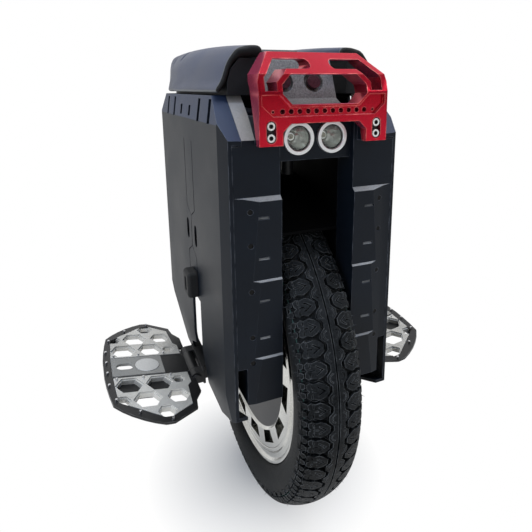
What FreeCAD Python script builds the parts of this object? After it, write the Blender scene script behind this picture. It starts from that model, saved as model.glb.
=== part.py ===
import FreeCAD, Part
import math
import os

# Electric unicycle, millimetres, +Z up, origin where the tyre meets the ground.
# The front, with the headlamps and the lift handle, faces -Y. "Left" is -X, as seen from the front.

V = FreeCAD.Vector
os.makedirs("parts", exist_ok=True)

# Fits
slip = 0.3
running = 0.05

# Wheel
tyre_radius = 248.0
wheel_top = 2 * tyre_radius
tyre_half_width = 41.0
tyre_wall = 9.5
tread_half_width = 32.0
tread_drop = 7.5
sidewall_radius = tyre_radius - 28.0
bead_half_width = 28.2
bead_radius = tyre_radius - 62.0
bead_height = 5.0
groove_width = 4.0
groove_depth = 4.0
side_groove_x = 14.0
rim_half_width = 31.0
rim_flange_radius = bead_radius + 5.0
rim_well_radius = bead_radius - 8.0
rim_inner_radius = bead_radius - 16.0
rim_ridge = 30.0
rim_ridge_radius = bead_radius - 11.5
rim_dish = 27.0
rim_dish_inner = bead_radius - 9.0
rim_dish_outer = bead_radius - 2.5
rim_lip_radius = bead_radius + 1.0
window_count = 15
window_inner = rim_inner_radius - 24.0
window_outer = rim_inner_radius - 6.0
window_angle = 15.0
cover_inside = 20.0
cover_thickness = 6.0
cover_boss_radius = 42.0
cover_boss_out = 33.0
cover_ring_out = 29.0
drum_radius = rim_inner_radius - 29.0
drum_wall = 6.0
bearing_radius = 27.5
bearing_width = 12.0
axle_radius = 15.0
axle_half_length = 74.0
stator_radius = drum_radius - 11.0
stator_half_width = 17.0

# Inner frame
plate_inside = 50.0
plate_thickness = 3.0
plate_top = wheel_top + 124.0
plate_waist = tyre_radius + 52.0
plate_bottom = tyre_radius - 43.0
plate_foot = 60.0
arch_gap = 8.0
arch_thickness = 3.0

# Width over the side panels
panel_half_width = 112.5

# Front and rear columns
column_inside = 46.9
column_outside = panel_half_width - 10.5
column_lip = column_outside - 10.5
column_bend = column_outside - 28.3
front_face = 191.2
front_lip = 187.0
front_back = 150.0
rear_face = 206.0
rear_lip = 202.0
rear_back = 165.0
column_bottom = tyre_radius + 14.0
column_top = wheel_top + 108.0
column_step = 5.2
armour_taper = 2.0
ledge_heights = (wheel_top + 21.0, wheel_top - 76.0, wheel_top - 173.0)
tick_heights = (wheel_top - 4.0, wheel_top - 52.0, wheel_top - 103.0, wheel_top - 150.0)
tick_inside = column_bend - 11.7
tick_length = 13.0
tick_height = 3.0
tick_depth = 2.4
ledge_fall = 4.5
column_screw_x = column_bend + 10.3
column_screw_heights = (
    wheel_top + 5.0, wheel_top - 34.0, wheel_top - 89.0,
    wheel_top - 146.0, wheel_top - 179.0,
)
screw_radius = 3.0
screw_length = 5.0
screw_proud = 0.6
flange_bottom = tyre_radius + 62.0
flange_top = wheel_top + 77.2

# Side panels
panel_wall = 4.0
panel_edge_x = panel_half_width - 6.2
panel_front_crease = 165.6
panel_front_edge = 185.8
panel_rear_crease = 180.6
panel_rear_edge = 201.0
panel_top = wheel_top + 130.0
panel_top_x = panel_half_width - 4.5
panel_band = wheel_top + 99.0
panel_low_band = tyre_radius + 20.0
panel_bottom = tyre_radius - 38.0
panel_bottom_x = panel_half_width - 6.5
panel_top_front = 134.0
panel_top_rear = 152.0
panel_chamfer_z = wheel_top + 84.0
panel_bottom_front = 120.0
panel_bottom_rear = 88.0
panel_tip_z = tyre_radius - 7.0
panel_heel_z = tyre_radius + 50.0
vent_first = 122.0
vent_pitch = 50.5
vent_width = 11.0
vent_heights = (28.0, 28.0, 14.0, 14.0, 28.0, 28.0)
vent_foot = wheel_top + 98.0
slot_front = 50.0
slot_top = tyre_radius + 92.0
slot_throat = tyre_radius + 2.0
slot_foot = tyre_radius - 18.0
slot_foot_rear = 42.0
line_centre = -16.0
line_spread = 23.0
line_width = 2.4
line_depth = 1.2
line_top = wheel_top + 70.0
line_meet = wheel_top - 38.0
line_split = wheel_top - 84.0
line_bottom = wheel_top - 130.0
pad_slot_spread = 23.5
pad_slot_bottom = wheel_top - 78.0
pad_slot_height = 31.0
pad_slot_width = 14.0

# Bumpers
bumper_proud = 15.0
bumper_front = 43.0
bumper_length = 33.0
bumper_bottom = tyre_radius + 95.0
bumper_height = 37.0
bumper_round = 5.0
bumper_recess_width = 11.0
bumper_recess_height = 21.0
bumper_recess_depth = 3.0

# Lift handle
handle_half_width = 78.0
handle_foot = wheel_top + 78.0
arch_top = handle_foot + 23.0
grip_row_z = arch_top + 12.3
loop_bottom = grip_row_z + 7.0
loop_height = 31.7
loop_top = loop_bottom + loop_height
loop_bar = 5.5
window_height = 11.0
handle_bar = 7.5
handle_top = loop_top + loop_bar + window_height + handle_bar
handle_front = 205.0
handle_foot_rear = 196.5
handle_seat_top = handle_foot + 30.0
handle_seat_rear = 187.2
handle_bend_z = handle_foot + 55.0
handle_knee_z = loop_top
handle_knee_y = 200.0
handle_knee_x = 76.0
handle_side_z = loop_top - 8.0
handle_top_y = 172.0
handle_top_rear = 153.0
handle_top_half = 56.0
leg_inside = 51.0
arch_shoulder = 9.0
loop_half_width = 51.0
loop_corner = 11.0
window_round_x = 17.5
window_waist_x = 57.0
window_waist_z = loop_top - 8.5
window_foot = loop_bottom + 14.2
grip_row_pitch = 10.0
grip_row_count = 11
grip_hole_radius = 2.8
end_hole_x = 61.0
end_hole_radius = 1.6
pocket_bottom = grip_row_z - 4.8
pocket_half_width = 62.0
pocket_side = 74.5
pocket_side_z = grip_row_z + 6.7
pocket_top = loop_bottom + 10.2
pocket_depth = 4.0
lip_thickness = 2.4
seat_wedge_inside = 51.5
seat_wedge_outside = column_bend + 2.3
bolt_x = 64.4
bolt_heights = (handle_foot + 8.4, handle_foot + 20.8)
bolt_radius = 4.4
bolt_well = 5.6
bolt_well_depth = 5.0
bolt_recess = 0.6
bolt_socket = 2.4
bolt_socket_depth = 3.0

# Headlamps and their cross-piece
lamp_x = 21.3
lamp_z = wheel_top + 82.2
lamp_front = 181.6
lamp_radius = 18.7
lamp_rim = 4.4
lamp_depth = 16.0
lamp_flat = 16.6
lens_inset = 2.4
lens_thickness = 1.5
bowl_depth = 20.0
bowl_floor = 4.5
bowl_wall = 1.0
led_radius = 3.2
led_height = 1.3
bridge_front = 178.0
bridge_bottom = wheel_top + 57.0
bridge_top = wheel_top + 110.0

# Console behind the handle
console_half_width = 48.0
console_foot = 161.0
console_toe = wheel_top + 115.0
console_foot_z = wheel_top + 125.0
console_front = 146.0
console_step = wheel_top + 116.0
console_brow = 124.0
console_top = wheel_top + 170.5
console_back = 101.0
well_x = 20.0
well_y = 134.5
well_radius = 12.5
well_depth = 6.0
port_radius = 8.0
port_height = 1.5
cap_radius = 8.5
cap_height = 6.0
cap_tail = 12.0
cap_travel_gap = 0.3

# Top deck, power button and trolley handle
deck_thickness = 6.0
button_y = 60.0
button_radius = 8.0
button_proud = 2.5
button_skirt = 11.0
trolley_y = -46.0
trolley_x = 24.0
trolley_tube = 6.0
trolley_sleeve = 8.5
sleeve_gap = 5.0
sleeve_floor = 4.0
tube_room = 6.0
sleeve_foot = wheel_top + arch_gap + arch_thickness + sleeve_gap
trolley_foot = sleeve_foot + sleeve_floor + tube_room
grip_half_width = 34.0
grip_half_depth = 15.0
grip_bottom = wheel_top + 172.0
grip_height = 15.0
grip_round = 5.0

# Seat boxes on the deck
seat_inside = 59.0
seat_foot_x = panel_half_width - 20.0
seat_side_z = wheel_top + 144.0
seat_brow_x = seat_foot_x - 4.5
seat_brow_z = wheel_top + 159.0
seat_top_x = seat_foot_x - 14.5
seat_top = wheel_top + 170.7
seat_front = 145.0
seat_rear = 146.0

# Seat pads, saddle flaps over the boxes
pad_inside = 38.0
pad_front = -150.0
pad_rear = 150.0
pad_stations = 5
pad_crown_x = 64.0
pad_crown_front = wheel_top + 183.5
pad_crown_rear = wheel_top + 194.0
pad_shoulder_x = 84.0
pad_rear_shoulder = 8.0
pad_rear_waist = 2.0
pad_rear_flap = 4.0
pad_shoulder_drop = 6.5
pad_flap_x = panel_half_width
pad_waist_x = pad_flap_x - 11.5
pad_waist_z = wheel_top + 152.0
pad_flap_z = wheel_top + 133.0
pad_flap_thickness = 9.0
pad_draw = 3.0
pad_sag = 3.0
pad_channel_y = 84.0
pad_channel_width = 4.0
pad_channel_depth = 3.0

# Battery packs, heat sink and control board
battery_outside = panel_half_width - 9.5
battery_front = 128.0
battery_rear = 160.0
battery_bottom = wheel_top - 151.0
battery_top = wheel_top + 114.0
battery_round = 8.0
sink_front = 26.0
sink_rear = 150.0
sink_bottom = wheel_top + 89.0
sink_base = 5.0
sink_fins = 9
sink_fin_height = 22.0
sink_fin_thickness = 3.0
board_thickness = 4.0
board_margin = 6.0

# Rear cross-piece and tail lamp
rear_bridge_back = 190.0
tail_half_width = 30.0
tail_bottom = wheel_top + 72.0
tail_height = 22.0
tail_thickness = 7.0

# Pedal hangers and hinges
hanger_inside = plate_inside + plate_thickness
hanger_thickness = 16.0
hanger_half_width = 28.0
hanger_top = tyre_radius + 52.0
hanger_arm_bottom = tyre_radius - 45.0
hanger_arm_top = tyre_radius - 22.0
hinge_x = panel_half_width + 8.5
hinge_z = tyre_radius - 33.5
hinge_barrel = 9.0
hinge_pin = 5.0
hinge_head = 7.0
hinge_head_height = 3.0
knuckle_half = 23.7
lug_inside = 24.0
lug_outside = 40.0
lug_back = hinge_x - 13.5

# Pedals, drawn flat: outward distance from the hinge axis, then Y
pedal_tilt = 9.0
pedal_thickness = 11.0
pedal_edge = 3.0
pedal_undercut = 10.0
pedal_rise = 4.0
pedal_reach = 129.0
pedal_corner = 121.0
pedal_corner_y = 88.0
pedal_tip = 61.0
pedal_tip_y = 135.0
pedal_nose = 50.0
pedal_shoulder = 16.0
pedal_shoulder_y = 113.0
pedal_neck = 13.0
pedal_neck_y = 94.0
pedal_root = 3.0
pedal_root_y = 77.0
pedal_band = 9.5
plate_inner_y = 27.0
plate_ear = 12.0
plate_ear_y = 53.0
plate_throat = 18.0
plate_ledge = 3.0
plate_floor = 3.0
plate_proud = 0.6
hex_radius = 17.5
hex_pitch = 41.0
hex_row_y = 47.0
hex_next_row = 35.0
hex_first = 56.0
hex_small = 9.5
hex_side = 14.0
hex_tip = 11.0
cell_step = 2.0
cell_step_depth = 2.4
middle_half = 24.5
middle_inner = 44.0
middle_outer = 118.0
middle_thickness = 2.5
middle_proud = 1.6
oval_out = 99.0
oval_half_length = 4.0
oval_half_width = 8.0
oval_room = 5.0
oval_room_side = 22.0
web_reach = 64.0
badge_out = 67.0
badge_radius = 17.5
badge_thickness = 1.6
pin_radius = 1.7
pin_height = 3.2
pin_sink = 4.0
plate_pin_places = ((38.0, 31.0), (76.5, 31.5), (113.0, 31.0))
pin_places = ((124.0, 14.0), (123.5, 44.0), (117.0, 79.0), (90.0, 109.0), (52.0, 129.5))


def box(x0, x1, y0, y1, z0, z1):
    return Part.makeBox(x1 - x0, y1 - y0, z1 - z0, V(x0, y0, z0))


def place(axis, depth, a, b):
    # A point of a flat drawing: y,z across X, x,z across Y and x,y across Z.
    if axis == "x":
        return V(depth, a, b)
    if axis == "y":
        return V(a, depth, b)
    return V(a, b, depth)


def along(axis, length):
    return place(axis, length, 0, 0)


def prism(axis, outline, start, end):
    corners = [place(axis, start, a, b) for a, b in outline]
    face = Part.Face(Part.makePolygon(corners + corners[:1]))
    return face.extrude(along(axis, end - start))


def rod(axis, radius, centre, start, end):
    return Part.makeCylinder(radius, end - start, place(axis, start, *centre), along(axis, 1))


def turned_on_axle(outline):
    # A ring about the wheel axis, from (x, radius) corners.
    corners = [V(x, 0, tyre_radius + r) for x, r in outline]
    face = Part.Face(Part.makePolygon(corners + corners[:1]))
    return face.revolve(V(0, 0, tyre_radius), V(1, 0, 0), 360)


def turned_on_lamp(outline):
    # A ring about a lamp's axis, from (depth behind the front, radius) corners.
    corners = [V(lamp_x + r, depth - lamp_front, lamp_z) for depth, r in outline]
    face = Part.Face(Part.makePolygon(corners + corners[:1]))
    return face.revolve(V(lamp_x, 0, lamp_z), V(0, 1, 0), 360)


def mirrored(shape):
    return shape.mirror(V(0, 0, 0), V(1, 0, 0))


def inset(outline, distance):
    # Moves each edge of an anticlockwise outline inwards and finds the new corners.
    count = len(outline)
    lines = []
    for i in range(count):
        (ax, ay), (bx, by) = outline[i], outline[(i + 1) % count]
        length = math.hypot(bx - ax, by - ay)
        nx, ny = (ay - by) / length, (bx - ax) / length
        lines.append((nx, ny, nx * ax + ny * ay + distance))
    corners = []
    for i in range(count):
        (a, b, c), (d, e, f) = lines[i - 1], lines[i]
        det = a * e - b * d
        corners.append(((c * e - b * f) / det, (a * f - c * d) / det))
    return corners


# Wheel: tyre, rim, motor covers, bearings


def bent(start, middle, end, count):
    # The corners of an arc drawn with straight legs, without its first point.
    arc = Part.Arc(V(start[0], start[1], 0), V(middle[0], middle[1], 0), V(end[0], end[1], 0))
    return [(p.x, p.y) for p in arc.discretize(Number=count + 1)[1:]]


def tyre():
    shoulder = tyre_radius - tread_drop
    inner_half = tread_half_width - tyre_wall / 3
    inner_shoulder = shoulder - tyre_wall
    bulge = tyre_half_width - 2.0
    low = (sidewall_radius + bead_radius) / 2
    toe = bead_half_width - tyre_wall + 1.0
    top = bead_radius + bead_height
    half = groove_width / 2
    outside = [(bead_half_width, bead_radius), (bead_half_width, top)]
    outside += bent(outside[-1], (bulge, low), (tyre_half_width, sidewall_radius), 4)
    upper = (tyre_half_width - 2.5, sidewall_radius + 14)
    outside += bent(outside[-1], upper, (tread_half_width, shoulder), 3)
    for x in (side_groove_x, 0):
        drop = tread_drop * (x / tread_half_width) ** 2
        top_of_groove = tyre_radius - drop
        outside += [(x + half, top_of_groove), (x + half, top_of_groove - groove_depth)]
        if x:
            outside += [(x - half, top_of_groove - groove_depth), (x - half, top_of_groove)]
    inside = [(toe, bead_radius), (toe, top)]
    inside += bent(inside[-1], (bulge - tyre_wall + 2, low + 4), (inner_half, inner_shoulder), 3)
    inside += [(inner_half / 2, tyre_radius - tyre_wall - 1)]
    outline = outside + [(-x, r) for x, r in outside[::-1]]
    outline += [(-x, r) for x, r in inside] + inside[::-1]
    return turned_on_axle(outline)


def rim():
    seat = bead_radius - slip
    flange_in = bead_half_width + slip
    half = [
        (rim_ridge, rim_inner_radius), (rim_ridge, rim_ridge_radius), (rim_dish, rim_dish_inner),
        (rim_dish, rim_dish_outer), (rim_half_width, rim_lip_radius), (rim_half_width, rim_flange_radius),
        (flange_in, rim_flange_radius), (flange_in, seat), (14, seat), (10, rim_well_radius),
    ]
    return turned_on_axle(half + [(-x, r) for x, r in half[::-1]])


def motor_cover(with_drum):
    # Right-hand cover: a dished casting with windows between spokes near its edge.
    far = cover_inside + cover_thickness
    edge = rim_inner_radius - slip
    bore = bearing_radius + running
    outline = [
        (cover_inside, bore), (cover_boss_out, bore), (cover_boss_out, cover_boss_radius),
        (far, cover_boss_radius + 8), (far, drum_radius), (cover_ring_out, drum_radius + 4),
        (cover_ring_out, edge), (cover_inside, edge),
    ]
    body = turned_on_axle(outline)
    half = math.radians(window_angle / 2)
    window = []
    for radius, spread in ((window_inner, half * 0.8), (window_outer, half)):
        pair = [(radius * math.sin(a), radius * math.cos(a)) for a in (-spread, spread)]
        window += pair if not window else pair[::-1]
    window = [(y, tyre_radius + z) for y, z in window]
    cutter = prism("x", window, cover_inside - 1, cover_ring_out + 1)
    cutters = []
    for i in range(window_count):
        copy = cutter.copy()
        copy.rotate(V(0, 0, tyre_radius), V(1, 0, 0), 360.0 * i / window_count)
        cutters.append(copy)
    body = body.cut(Part.makeCompound(cutters))
    if with_drum:
        gap = cover_inside
        drum = [(gap, drum_radius - drum_wall), (gap, drum_radius),
                (slip - gap, drum_radius), (slip - gap, drum_radius - drum_wall)]
        body = body.fuse(turned_on_axle(drum)).removeSplitter()
    return body


def bearing():
    inside = cover_inside + 0.5
    inner = axle_radius + running
    return turned_on_axle([(inside, inner), (inside + bearing_width, inner),
                           (inside + bearing_width, bearing_radius), (inside, bearing_radius)])


def axle():
    flat = axle_radius - 2.5
    body = rod("x", axle_radius, (0, tyre_radius), -axle_half_length, axle_half_length)
    for s in (-1, 1):
        ends = sorted((s * hanger_inside, s * (axle_half_length + 1)))
        for y in (-axle_radius - 5, flat):
            body = body.cut(box(ends[0], ends[1], y, y + 5 + axle_radius - flat, 0, 2 * tyre_radius))
    return body


def stator():
    inner = axle_radius + running
    core = rod("x", stator_radius, (0, tyre_radius), -stator_half_width, stator_half_width)
    return core.cut(rod("x", inner, (0, tyre_radius), -stator_half_width - 1, stator_half_width + 1))


# Inner frame: two side plates joined by the wheel arch


def wheel_arch():
    shelf = panel_chamfer_z + 4
    outline = [
        (-plate_foot, plate_bottom), (plate_foot, plate_bottom), (rear_back, plate_waist),
        (rear_back, plate_top), (-panel_top_front, plate_top), (-panel_top_front, shelf),
        (-front_back, shelf), (-front_back, plate_waist),
    ]
    plate = prism("x", outline, plate_inside, plate_inside + plate_thickness)
    plate = plate.cut(rod("x", axle_radius + running, (0, tyre_radius), 0, 2 * plate_inside))
    inner = tyre_radius + arch_gap
    outer = inner + arch_thickness
    ring = rod("x", outer, (0, tyre_radius), -plate_inside, plate_inside)
    ring = ring.cut(rod("x", inner, (0, tyre_radius), -plate_inside, plate_inside))
    arch = ring.common(box(-plate_inside, plate_inside, -front_back, rear_back, tyre_radius, 2 * plate_top))
    return arch.fuse([plate, mirrored(plate)]).removeSplitter()


# Columns: armour steps down the front, screws on the outer band


def armour_profile(sign, face, back, top_points):
    # Side view of a column, with one sloped ledge at the head of each armour segment.
    ledges = list(ledge_heights) + [column_bottom]
    recess = face - column_step
    edge = []
    for upper, lower in zip(ledges, ledges[1:]):
        fall = ledge_fall if upper == ledges[0] else armour_taper
        edge.append((sign * face, upper - fall))
        edge.append((sign * (face - armour_taper), lower))
    front = [(sign * recess, ledges[0])] + edge
    return top_points + front + [(sign * back, column_bottom)]


def column(sign, face, lip, back, panel_edge):
    plan = [
        (column_inside, sign * back), (column_inside, sign * face), (column_bend, sign * face),
        (column_lip, sign * lip), (column_outside, sign * panel_edge), (column_outside, sign * back),
    ]
    recess = face - column_step
    inner_top = [(sign * back, column_top), (sign * recess, column_top)]
    inner = prism("x", armour_profile(sign, face, back, inner_top), column_inside, column_bend)
    if sign < 0:
        shelf = panel_chamfer_z + 4
        fall = (panel_top - panel_chamfer_z) / (panel_front_edge - panel_top_front)
        brow = panel_top - (recess - panel_top_front) * fall
        outer_top = [(-back, shelf), (-panel_top_front, shelf), (-panel_top_front, panel_top - slip),
                     (-recess, brow - slip)]
    else:
        outer_top = [(back, panel_chamfer_z), (recess, panel_chamfer_z)]
    outer = prism("x", armour_profile(sign, face, back, outer_top), column_bend, column_outside)
    body = inner.fuse(outer)
    allowed = prism("z", plan, column_bottom - 1, panel_top + 1)
    if sign < 0:
        brow_room = box(column_bend, column_outside, -back, -panel_top_front, panel_chamfer_z, panel_top)
        allowed = allowed.fuse(brow_room)
    body = body.common(allowed)
    for low, high in ((column_bottom - 1, flange_bottom), (flange_top, panel_top + 1)):
        body = body.cut(box(column_lip - slip, column_outside + 1, -face - 1, face + 1, low, high))
    if sign < 0:
        wedge = [(-recess, handle_foot), (-handle_foot_rear, handle_foot),
                 (-handle_seat_rear, handle_seat_top), (-recess, handle_seat_top)]
        body = body.fuse(prism("x", wedge, seat_wedge_inside, seat_wedge_outside))
    body = body.removeSplitter()
    for z in tick_heights:
        near, root = sign * (face + 1), sign * (face - armour_taper)
        notch = [(near, z), (root, z), (root - sign * tick_depth, z + tick_height), (near, z + tick_height)]
        body = body.cut(prism("x", notch, tick_inside, tick_inside + tick_length))
    for z in column_screw_heights:
        start, end = sorted((sign * (screw_face(face, lip) - screw_length), sign * (face + 5)))
        body = body.cut(rod("y", screw_radius + slip / 2, (column_screw_x, z), start, end))
    return body


def screw_face(face, lip):
    # Where the outer band's surface lies at the screws.
    share = (column_screw_x - column_bend) / (column_lip - column_bend)
    return face + (lip - face) * share


def column_screws():
    screws = []
    for sign, face, lip in ((-1, front_face, front_lip), (1, rear_face, rear_lip)):
        surface = screw_face(face, lip) - armour_taper / 2
        start, end = sorted((sign * (screw_face(face, lip) - screw_length), sign * (surface + screw_proud)))
        for z in column_screw_heights:
            head = rod("y", screw_radius, (column_screw_x, z), start, end)
            screws += [head, mirrored(head)]
    return Part.makeCompound(screws)


# Side panels: a faceted shell with vents, scored lines and the hanger slot


def panel_outline(front, rear):
    front_rise = (panel_tip_z - panel_bottom) / (panel_front_edge - panel_bottom_front)
    rear_rise = (panel_heel_z - panel_bottom) / (panel_rear_edge - panel_bottom_rear)
    front_fall = (panel_top - panel_chamfer_z) / (panel_front_edge - panel_top_front)
    rear_fall = (panel_top - panel_chamfer_z) / (panel_rear_edge - panel_top_rear)
    return [
        (-front, panel_bottom + (front - panel_bottom_front) * front_rise),
        (-panel_bottom_front, panel_bottom), (panel_bottom_rear, panel_bottom),
        (rear, panel_bottom + (rear - panel_bottom_rear) * rear_rise),
        (rear, panel_top - (rear - panel_top_rear) * rear_fall),
        (panel_top_rear, panel_top), (-panel_top_front, panel_top),
        (-front, panel_top - (front - panel_top_front) * front_fall),
    ]


def panel_section():
    return [
        (plate_inside, panel_bottom), (panel_bottom_x, panel_bottom), (panel_half_width, panel_low_band),
        (panel_half_width, panel_band), (panel_top_x, panel_top), (plate_inside, panel_top),
    ]


def side_panel():
    plan = [
        (column_lip, -panel_front_edge - 1), (panel_edge_x, -panel_front_edge),
        (panel_half_width, -panel_front_crease), (panel_half_width, panel_rear_crease),
        (panel_edge_x, panel_rear_edge), (column_lip, panel_rear_edge + 1),
    ]
    reach = 60.0
    outer = prism("z", plan, panel_bottom - 1, panel_top + 1)
    outer = outer.common(prism("x", panel_outline(panel_front_edge + 1, panel_rear_edge + 1),
                               plate_inside, panel_half_width + 1))
    outer = outer.common(prism("y", panel_section(), -panel_front_edge - 2, panel_rear_edge + 2))
    wall = panel_wall
    hollow_plan = [
        (plate_inside, -panel_front_edge - reach), (panel_edge_x - wall, -panel_front_edge - reach),
        (panel_edge_x - wall, -panel_front_edge + 1), (panel_half_width - wall, -panel_front_crease + 1),
        (panel_half_width - wall, panel_rear_crease - 1), (panel_edge_x - wall, panel_rear_edge - 1),
        (panel_edge_x - wall, panel_rear_edge + reach), (plate_inside, panel_rear_edge + reach),
    ]
    hollow = prism("z", hollow_plan, panel_bottom - 1, panel_top + 1)
    wide = panel_outline(panel_front_edge + reach, panel_rear_edge + reach)
    hollow = hollow.common(prism("x", inset(wide, wall), plate_inside - 1, panel_half_width))
    section = inset(panel_section(), wall)
    hollow = hollow.common(prism("y", section, -panel_front_edge - reach, panel_rear_edge + reach))
    cutters = [hollow]
    for i, height in enumerate(vent_heights):
        y = vent_first - i * vent_pitch
        foot = vent_foot + (max(vent_heights) - height) / 3
        cutters.append(box(panel_half_width - 3 * wall, panel_half_width + 1,
                           y - vent_width / 2, y + vent_width / 2, foot, foot + height))
    slot = [
        (-slot_front, panel_bottom - 1), (slot_foot_rear, panel_bottom - 1), (slot_foot_rear, slot_foot),
        (0, slot_throat), (0, slot_top), (-slot_front, slot_top),
    ]
    cutters.append(prism("x", slot, plate_inside, panel_half_width + 1))
    for s in (-1, 1):
        cutters.append(pad_slot(line_centre + s * pad_slot_spread))
    for stroke in scored_lines():
        cutters.append(prism("x", stroke, panel_half_width - line_depth, panel_half_width + 1))
    body = outer
    for cutter in cutters:
        body = body.cut(cutter)
    return body


def pad_slot(y):
    # An oblong hole through the panel that takes the strap or screw of a knee pad.
    inside, outside = panel_half_width - 2 * panel_wall, panel_half_width + 1
    half = pad_slot_width / 2
    low, high = pad_slot_bottom + half, pad_slot_bottom + pad_slot_height - half
    slot = box(inside, outside, y - half, y + half, low, high)
    for z in (low, high):
        slot = slot.fuse(rod("x", half, (y, z), inside, outside))
    return slot.removeSplitter()


def scored_lines():
    # Two lines that close to one and open again, each drawn as a narrow band.
    spread, half = line_spread, line_width / 2
    lean = line_meet + spread / 2
    split = line_split - spread / 2
    strokes = []
    for s in (-1, 1):
        path = [(s * spread, line_top), (s * spread, lean), (s * half, line_meet)]
        fork = [(s * half, line_split), (s * spread, split), (s * spread, line_bottom)]
        for run in (path, fork):
            for (ay, az), (by, bz) in zip(run, run[1:]):
                strokes.append([(line_centre + ay - half, az), (line_centre + ay + half, az),
                                (line_centre + by + half, bz), (line_centre + by - half, bz)])
    strokes.append([(line_centre - half, line_meet), (line_centre + half, line_meet),
                    (line_centre + half, line_split), (line_centre - half, line_split)])
    return strokes


def bumper():
    # A rounded rubber block with an oblong recess in its outer face.
    far = panel_half_width + bumper_proud
    rear = bumper_length - bumper_front
    block = box(panel_half_width, far, -bumper_front, rear, bumper_bottom, bumper_bottom + bumper_height)
    edges = [e for e in block.Edges if e.BoundBox.XMax > far - 0.01]
    block = block.makeFillet(bumper_round, edges)
    y = (rear - bumper_front) / 2
    z = bumper_bottom + bumper_height / 2
    half = bumper_recess_width / 2
    straight = bumper_recess_height / 2 - half
    recess = box(far - bumper_recess_depth, far + 1, y - half, y + half, z - straight, z + straight)
    for end in (z - straight, z + straight):
        recess = recess.fuse(rod("x", half, (y, end), far - bumper_recess_depth, far + 1))
    return block.cut(recess.removeSplitter())


# Lift handle: a milled frame, from its side view and its front view


def lift_handle():
    side = [
        (-handle_front, handle_foot), (-handle_foot_rear, handle_foot), (-handle_seat_rear, handle_seat_top),
        (-handle_seat_rear + 10.2, handle_bend_z + 5), (-handle_top_rear - 12, handle_knee_z + 2),
        (-handle_top_rear, handle_top - 2), (-handle_top_rear, handle_top), (-handle_top_y, handle_top),
        (-handle_knee_y, handle_knee_z), (-handle_front, handle_bend_z),
    ]
    half = [
        (handle_half_width, handle_foot), (handle_half_width, handle_side_z),
        (handle_knee_x, handle_knee_z), (handle_top_half, handle_top),
    ]
    front = half + [(-x, z) for x, z in half][::-1]
    body = prism("x", side, -handle_half_width, handle_half_width)
    body = body.common(prism("y", front, -handle_front - 1, 0))
    near, far = -handle_front - 1, -handle_top_rear + 1
    for opening in handle_openings():
        body = body.cut(prism("y", opening, near, far))
    for s in (-1, 1):
        height = (handle_top - handle_bar - loop_top - loop_bar) / 2
        centre = (s * window_round_x, loop_top + loop_bar + height)
        body = body.cut(rod("y", height, centre, near, far))
    body = body.cut(prism("y", handle_pocket(), near, -handle_front + pocket_depth))
    first = -grip_row_pitch * (grip_row_count - 1) / 2
    for i in range(grip_row_count):
        x = first + i * grip_row_pitch
        body = body.cut(rod("y", grip_hole_radius, (x, grip_row_z), near, far))
    for x in (-end_hole_x, end_hole_x):
        body = body.cut(rod("y", end_hole_radius, (x, grip_row_z), near, far))
    for x in (-bolt_x, bolt_x):
        well = box(x - bolt_well, x + bolt_well, near, -handle_front + bolt_well_depth, *bolt_heights)
        for z in bolt_heights:
            well = well.fuse(rod("y", bolt_well, (x, z), near, -handle_front + bolt_well_depth))
        body = body.cut(well)
    return body.removeSplitter()


def handle_pocket():
    # The shallow milled field under the loop; a thin lip stays round the loop's lower edge.
    lip = loop_bottom - lip_thickness
    right = [
        (pocket_half_width, pocket_bottom), (pocket_side, pocket_side_z), (pocket_side, pocket_top),
        (loop_half_width + lip_thickness + 0.9, pocket_top), (loop_half_width - loop_corner + 1.2, lip),
    ]
    return right + [(-x, z) for x, z in right][::-1]


def handle_openings():
    # The grip loop, the two windows above it and the arch over the lamps.
    c = loop_corner
    loop = [
        (-loop_half_width + c, loop_bottom), (loop_half_width - c, loop_bottom),
        (loop_half_width, loop_bottom + c), (loop_half_width, loop_top - c),
        (loop_half_width - c, loop_top), (-loop_half_width + c, loop_top),
        (-loop_half_width, loop_top - c), (-loop_half_width, loop_bottom + c),
    ]
    low, high = loop_top + loop_bar, handle_top - handle_bar
    out = handle_half_width - handle_bar
    window = [
        (window_round_x, low), (loop_half_width - c + 2.5, low), (window_waist_x, window_waist_z),
        (window_waist_x, window_foot), (out, window_foot), (out, handle_side_z + 4.5),
        (handle_top_half - 3, high), (window_round_x, high),
    ]
    arch = [
        (-leg_inside, handle_foot - 1), (leg_inside, handle_foot - 1),
        (leg_inside, arch_top - arch_shoulder),
        (leg_inside - arch_shoulder, arch_top), (-leg_inside + arch_shoulder, arch_top),
        (-leg_inside, arch_top - arch_shoulder),
    ]
    return [loop, window, [(-x, z) for x, z in window], arch]


def handle_screws():
    screws = []
    for x in (-bolt_x, bolt_x):
        for z in bolt_heights:
            face = -handle_front + bolt_recess
            head = rod("y", bolt_radius, (x, z), face, -handle_front + bolt_well_depth)
            socket = rod("y", bolt_socket, (x, z), face - 1, face + bolt_socket_depth)
            screws.append(head.cut(socket))
    return Part.makeCompound(screws)


# Headlamps: bezel, lens, reflector bowl and emitter


def headlamp_bezel():
    inner = lamp_radius - lamp_rim
    ring = turned_on_lamp([(0, inner + 0.6), (0, lamp_radius), (lamp_depth, lamp_radius),
                           (lamp_depth, inner), (0.8, inner)])
    flat = lamp_z + lamp_flat
    return ring.cut(box(0, 3 * lamp_x, -lamp_front - 1, -bridge_front, flat, flat + lamp_radius))


def headlamp_lens():
    radius = lamp_radius - lamp_rim - slip
    return turned_on_lamp([(lens_inset, 0), (lens_inset, radius), (lens_inset + lens_thickness, radius),
                           (lens_inset + lens_thickness, 0)])


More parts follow.
